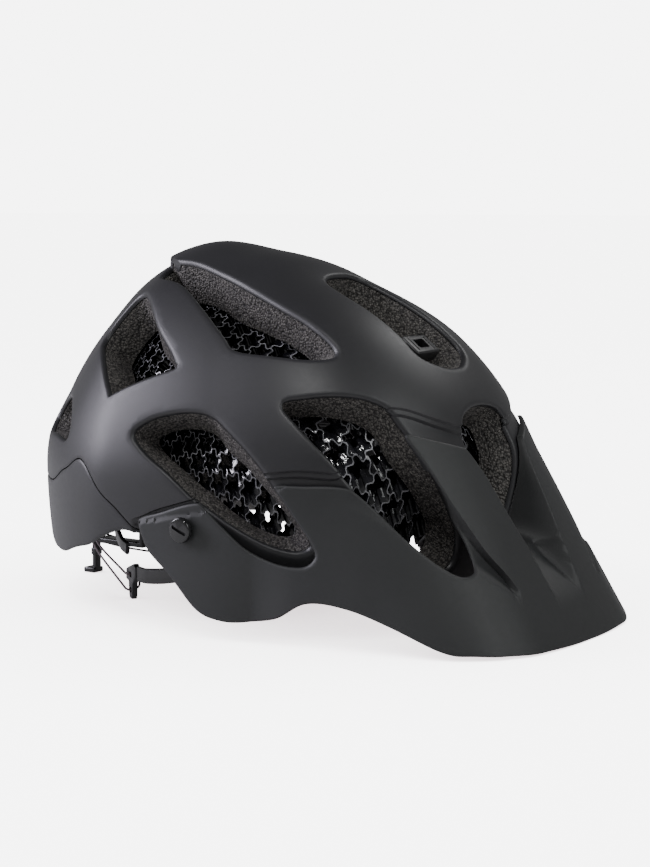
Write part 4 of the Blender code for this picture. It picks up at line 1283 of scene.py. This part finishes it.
LACE_RADIUS = 0.6
LACE_SIDES = 10
for side, label in RIGHT_AND_LEFT:
    backwards = Vector((-side * GUIDE_BACK[0], GUIDE_BACK[1], 0))
    up = Vector((0, 0, 1))
    turn = Matrix((backwards, up, backwards.cross(up))).transposed().to_4x4()
    turn.translation = Vector(guide_point(side, 0, 0, 0))
    head = [
        (-10, 13), (-10, 18), (-6, 19.5), (6, 16), (10, 14.5), (10.5, 9), (5, 8.5), (4, 1.8),
        (2.5, 0.0), (-1.5, 0.0), (-3, 1.8), (-3.5, 8.5),
    ]
    guide = plate("lace_hook_" + label, head, 3.0, NYLON, turn, 0.5)
    windows = [
        block("window_cutter", (0, 0, 0), (4.4, 2.6, 8), NYLON, turn @ Matrix.Translation((0.6, h, 0)), 0.6)
        for h in (12.6, 4.6)
    ]
    carve(guide, *windows)
    dress(ease(guide, 0.15), "fit_band_" + label, "nylon_black", "lace_guide_" + label)

    arm_line = [
        (52.9, 60.2, 15.0), (57, 50, 15.5), (62.5, 30, 19), (65.5, 5, 26), (65.5, -18, 35), (63, -36, 44),
    ]
    arm = ribbon(
        "fit_band_strip_" + label, [(side * x, y, z) for x, y, z in arm_line], (0, 0, 1), (0, 0, 1),
        8.0, 1.6, NYLON,
    )
    dress(arm, "fit_band_" + label, "nylon_black", "band_arm_" + label)
    keep_node("band_anchor_" + label, NYLON, 0.5)

    route = [(side * x, y, z) for x, y, z in [(3.0, 135.0, 22.0), (14, 119, 17.0)]]
    route += [guide_point(side, b, o, z) for b, o, z in (
        (14, 2.8, 13.2), (3.4, 2.7, 12.7), (0.6, 0, 12.6), (0.2, -2.8, 11.0), (0.3, -3.3, 8.6),
        (0.2, -2.8, 6.2), (0.6, 0, 4.6), (3.4, 2.7, 4.6), (14, 2.8, 5.6),
    )]
    route += [(side * 14, 119.5, 12.5), (side * 3.0, 135.0, 17.0)]
    lace_line = curve_points(route, 8)

    def build_lace(tidy, weave):
        rings = []
        for i, point in enumerate(lace_line):
            ahead = (lace_line[min(i + 1, len(lace_line) - 1)] - lace_line[max(i - 1, 0)]).normalized()
            first = ahead.cross(Vector((0, 0.3, 1))).normalized()
            second = ahead.cross(first)
            rings.append([
                tidy.verts.new(point + (first * math.cos(t) + second * math.sin(t)) * LACE_RADIUS)
                for t in (2 * math.pi * k / LACE_SIDES for k in range(LACE_SIDES))
            ])
        for low, high in zip(rings, rings[1:]):
            for k in range(LACE_SIDES):
                n = (k + 1) % LACE_SIDES
                tidy.faces.new((low[k], low[n], high[n], high[k]))
        tidy.faces.new(rings[0])
        tidy.faces.new(rings[-1])

    lace = solid("lace_cord_" + label, build_lace, LACE, None, 60)
    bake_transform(lace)
    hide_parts("lace_" + label)

# ---------------------------------------------------------------- straps, tucked up inside

WEB_WIDE = 15.0
WEB_THICK = 1.4
for side, label in RIGHT_AND_LEFT:
    def point(x, y, z):
        return (side * x, y, z)

    for where, around, down in (("front", 50, 93), ("rear", 124, 86)):
        turn = form_frame(side * around, down, lambda a, d: cell_inner(a, d) - 4.2)
        exit_point = turn @ Vector((0, 0, -3.5))
        inward = -turn.col[2].to_3d()
        aim = Vector(point(40, -3, 92) if where == "front" else point(40, 23, 94))
        route = [exit_point, exit_point + inward * 7, exit_point.lerp(aim, 0.6) + Vector((0, 0, 5)), aim]
        strap = ribbon(
            f"{where}_webbing_{label}", route, turn.col[0].to_3d(),
            (0, 0.25 if where == "front" else -0.25, 1), WEB_WIDE, WEB_THICK, WEBBING,
        )
        dress(strap, "helmet", "webbing_black", f"{where}_strap_{label}")
        keep_node(f"strap_anchor_{where}_{label}", NYLON, 0.5)
    keep_node("strap_divider_" + label, NYLON, 0.7)
    keep_node("cam_lever_" + label, NYLON, 0.4)
    chin_line = [point(40, 10, 104.6), point(37, 10, 112), point(27, 10, 121.5), point(16.4, 10, 124)]
    strap = ribbon("chin_webbing_" + label, chin_line, (0, 1, 0), (0, 1, 0), WEB_WIDE, WEB_THICK, WEBBING)
    if label == "right":
        dress(strap, "helmet", "webbing_black", "chin_strap_right")
    else:
        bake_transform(strap)
        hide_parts("chin_strap_left")
keep_node("strap_keeper", RUBBER, 0.4)

for side, name, node, body, magnet in (
    (-1, "buckle_receiver", "buckle_socket", "helmet", "socket_magnet"),
    (1, "buckle_catch", "buckle_tongue", "buckle_half", "tongue_magnet"),
):
    half = block(name, (side * 8.2, 10, 124), (15.6, 21, 9), NYLON, None, 2.0, 4)
    ribs = [
        block("rib_cutter", (side * x, 10 + s * 10.6, 124), (0.9, 1.6, 6.5), NYLON, None, 0.3, 2)
        for x in (6.0, 8.2, 10.4) for s in (-1, 1)
    ]
    well = turned(
        "well_cutter", [(0, 0), (3.3, 0), (3.3, 12), (0, 12)], (side * 4.0, 10, 124.5), (0, 0, 1), NYLON, 48
    )
    lip_cut = block("lip_cutter", (side * 14.0, 10, 128.4), (1.0, 16, 1.2), NYLON, None, 0.2, 2)
    carve(half, well, lip_cut, *ribs)
    dress(ease(half, 0.2), body, "nylon_black", node)
    keep_node(magnet, STEEL, 0.2)

# ---------------------------------------------------------------- pads


def map_patch(centre_around, centre_down, half_wide, half_tall, mirror=False):
    """A rounded patch on the form, its size in map degrees."""
    a = math.radians(centre_around)
    across = np.array([math.cos(a), math.sin(a)])
    along = np.array([math.sin(a), -math.cos(a)])
    centre = along * centre_down
    corners = [(-1, -0.7), (-0.7, -1), (0.7, -1), (1, -0.7), (1, 0.7), (0.7, 1), (-0.7, 1), (-1, 0.7)]
    points = np.array([centre + across * x * half_wide + along * y * half_tall for x, y in corners])
    around, down = from_map(points)
    return list(zip(-around if mirror else around, down))


def inflate(made, cap):
    """Swells a pad with cloth pressure, no point moving further than the cap, then smooths it."""
    remesh = made.modifiers.new("voxels", "REMESH")
    remesh.mode = "VOXEL"
    remesh.voxel_size = 0.0028
    mesh = baked(made)
    cloth = made.modifiers.new("cloth", "CLOTH")
    cloth.settings.use_pressure = True
    cloth.settings.uniform_pressure_force = 4.0
    cloth.settings.effector_weights.gravity = 0.0
    cloth.settings.quality = 4
    cloth.settings.tension_stiffness = 15
    cloth.collision_settings.use_collision = False
    rest = np.array([tuple(v.co) for v in mesh.vertices])
    for number in range(1, 13):
        scene.frame_set(number)
    graph = bpy.context.evaluated_depsgraph_get()
    swollen = made.evaluated_get(graph).to_mesh()
    now = np.array([tuple(v.co) for v in swollen.vertices])
    made.evaluated_get(graph).to_mesh_clear()
    made.modifiers.clear()
    scene.frame_set(1)
    move = now - rest
    far = np.linalg.norm(move, axis=1)
    scale = np.minimum(1.0, cap / np.maximum(far, 1e-9))
    for vertex, place_at in zip(mesh.vertices, rest + move * scale[:, None]):
        vertex.co = place_at
    smooth = made.modifiers.new("smooth", "SMOOTH")
    smooth.factor = 0.5
    smooth.iterations = 3
    finer = made.modifiers.new("finer", "SUBSURF")
    finer.levels = 1
    finer.render_levels = 1
    baked(made)
    made.data.shade_smooth()
    return made


def pad(name, node, outline, thickness, gap=1.3):
    """A comfort pad under the insert: a thin edge all round, swelling towards its middle."""
    loop = map_loop(outline, 2.2)
    flat, faces = triangulate(loop, [], 2.4)
    around, down = from_map(flat)
    top = cell_inner(around, down) - gap
    distance = nearest(flat, densified(loop))
    swell = roll(distance, 3.6, thickness * 0.36)
    outer = place(around, down, top - swell - 0.3)
    inner = place(around, down, top - thickness + 0.8 + swell)
    points, solid_faces = sheet_mesh(flat, faces, outer, inner, 2)
    made = inflate(make_object(name, points, solid_faces, PAD, 60), 0.0011)
    return dress(made, "helmet", "pad_black", node)


brow_arc = [
    (-36, 84), (-18, 83), (0, 82.5), (18, 83), (36, 84), (38.5, 91), (35, 97.5),
    (18, 98), (0, 98), (-18, 98), (-35, 97.5), (-38.5, 91),
]
pad("brow_cushion", "brow_pad", brow_arc, 6.0, 2.2)
pad("crown_cushion", "crown_pad", map_patch(0, 0, 24, 36), 7.0)
pad("rear_cushion", "rear_pad", map_patch(180, 63, 26, 13), 6.0)
pad("side_cushion_right", "side_pad_right", map_patch(-88, 70, 24, 14), 6.0)
pad("side_cushion_left", "side_pad_left", map_patch(88, 70, 24, 14), 6.0)
chin_turn = Matrix.Translation((-23.9, 10, 116.6)) @ Matrix.Rotation(math.radians(-36), 4, "Y")
chin = block("chin_cushion", (0, 0, 0), (16.4, 18.4, 3.6), PAD, chin_turn, 1.6, 4)
dress(inflate(chin, 0.0006), "helmet", "pad_black", "chin_pad")

# ---------------------------------------------------------------- floor and light

floor_mesh = bpy.data.meshes.new("floor")
FLOOR_REACH = 30.0
corners = [(x * FLOOR_REACH, y * FLOOR_REACH, 0) for x, y in ((-1, -1), (1, -1), (1, 1), (-1, 1))]
floor_mesh.from_pydata(corners, [], [(0, 1, 2, 3)])
floor = bpy.data.objects.new("floor", floor_mesh)
scene.collection.objects.link(floor)
floor_look, tree, shader, where = new_material("floor_pale", (0.5, 0.5, 0.5), 0.9)
shader.inputs["Specular IOR Level"].default_value = 0.0
seen = tree.nodes.new("ShaderNodeLightPath").outputs["Is Camera Ray"]
# Ambient occlusion dims the floor's glow to a pinkish grey near the helmet: a painted contact shadow.
painted_shadow_ao = tree.nodes.new("ShaderNodeAmbientOcclusion")
painted_shadow_ao.inputs["Distance"].default_value = 0.16
painted_shadow_ao.samples = 8
WHITE = (1.0, 1.0, 1.0)
shades = [(0.0, (0.30, 0.26, 0.27)), (0.55, (0.78, 0.76, 0.765)), (1.0, WHITE)]
shade = ramp(tree, painted_shadow_ao.outputs["AO"], shades)
tree.links.new(shade, shader.inputs["Emission Color"])
tree.links.new(spread(tree, seen, 0.3, 6.15), shader.inputs["Emission Strength"])
tint(tree, shader, noise(tree, where, 3.0), [(0.3, (0.5, 0.5, 0.5)), (0.7, (0.51, 0.51, 0.51))])
floor_mesh.materials.append(floor_look)

world = bpy.data.worlds.new("studio")
scene.world = world
world.use_nodes = True
tree = world.node_tree
sky = tree.nodes["Background"]
where = tree.nodes.new("ShaderNodeTexCoord").outputs["Generated"]
split = tree.nodes.new("ShaderNodeSeparateXYZ")
tree.links.new(where, split.inputs["Vector"])
glow = ramp(tree, split.outputs["Z"], [(0.0, WHITE), (0.12, WHITE), (0.5, (0.25, 0.25, 0.26))])
tree.links.new(glow, sky.inputs["Color"])
seen = tree.nodes.new("ShaderNodeLightPath").outputs["Is Camera Ray"]
tree.links.new(spread(tree, seen, 0.33, 6.5), sky.inputs["Strength"])


def soft_light(name, azimuth, elevation, distance, size, power, colour):
    data = bpy.data.lights.new(name, "AREA")
    data.shape = "RECTANGLE"
    data.size, data.size_y = size
    data.energy = power
    data.color = colour
    made = bpy.data.objects.new(name, data)
    scene.collection.objects.link(made)
    a = math.radians(azimuth)
    e = math.radians(elevation)
    direction = Vector((math.sin(a) * math.cos(e), -math.cos(a) * math.cos(e), math.sin(e)))
    made.location = Vector((0, 0, 0.09)) + direction * distance
    made.rotation_euler = direction.to_track_quat("Z", "Y").to_euler()


soft_light("rear_softbox", -149, 24, 1.5, (0.4, 0.9), 25, (0.91, 0.88, 1.0))
soft_light("front_softbox", -8, 38, 1.7, (0.9, 0.8), 10, (0.98, 1.0, 1.0))
soft_light("far_side_softbox", 75, 48, 1.7, (0.5, 0.5), 6, (1.0, 1.0, 1.0))
soft_light("camera_side_spot", -80, 55, 1.4, (0.12, 0.12), 5, (1.0, 1.0, 1.0))
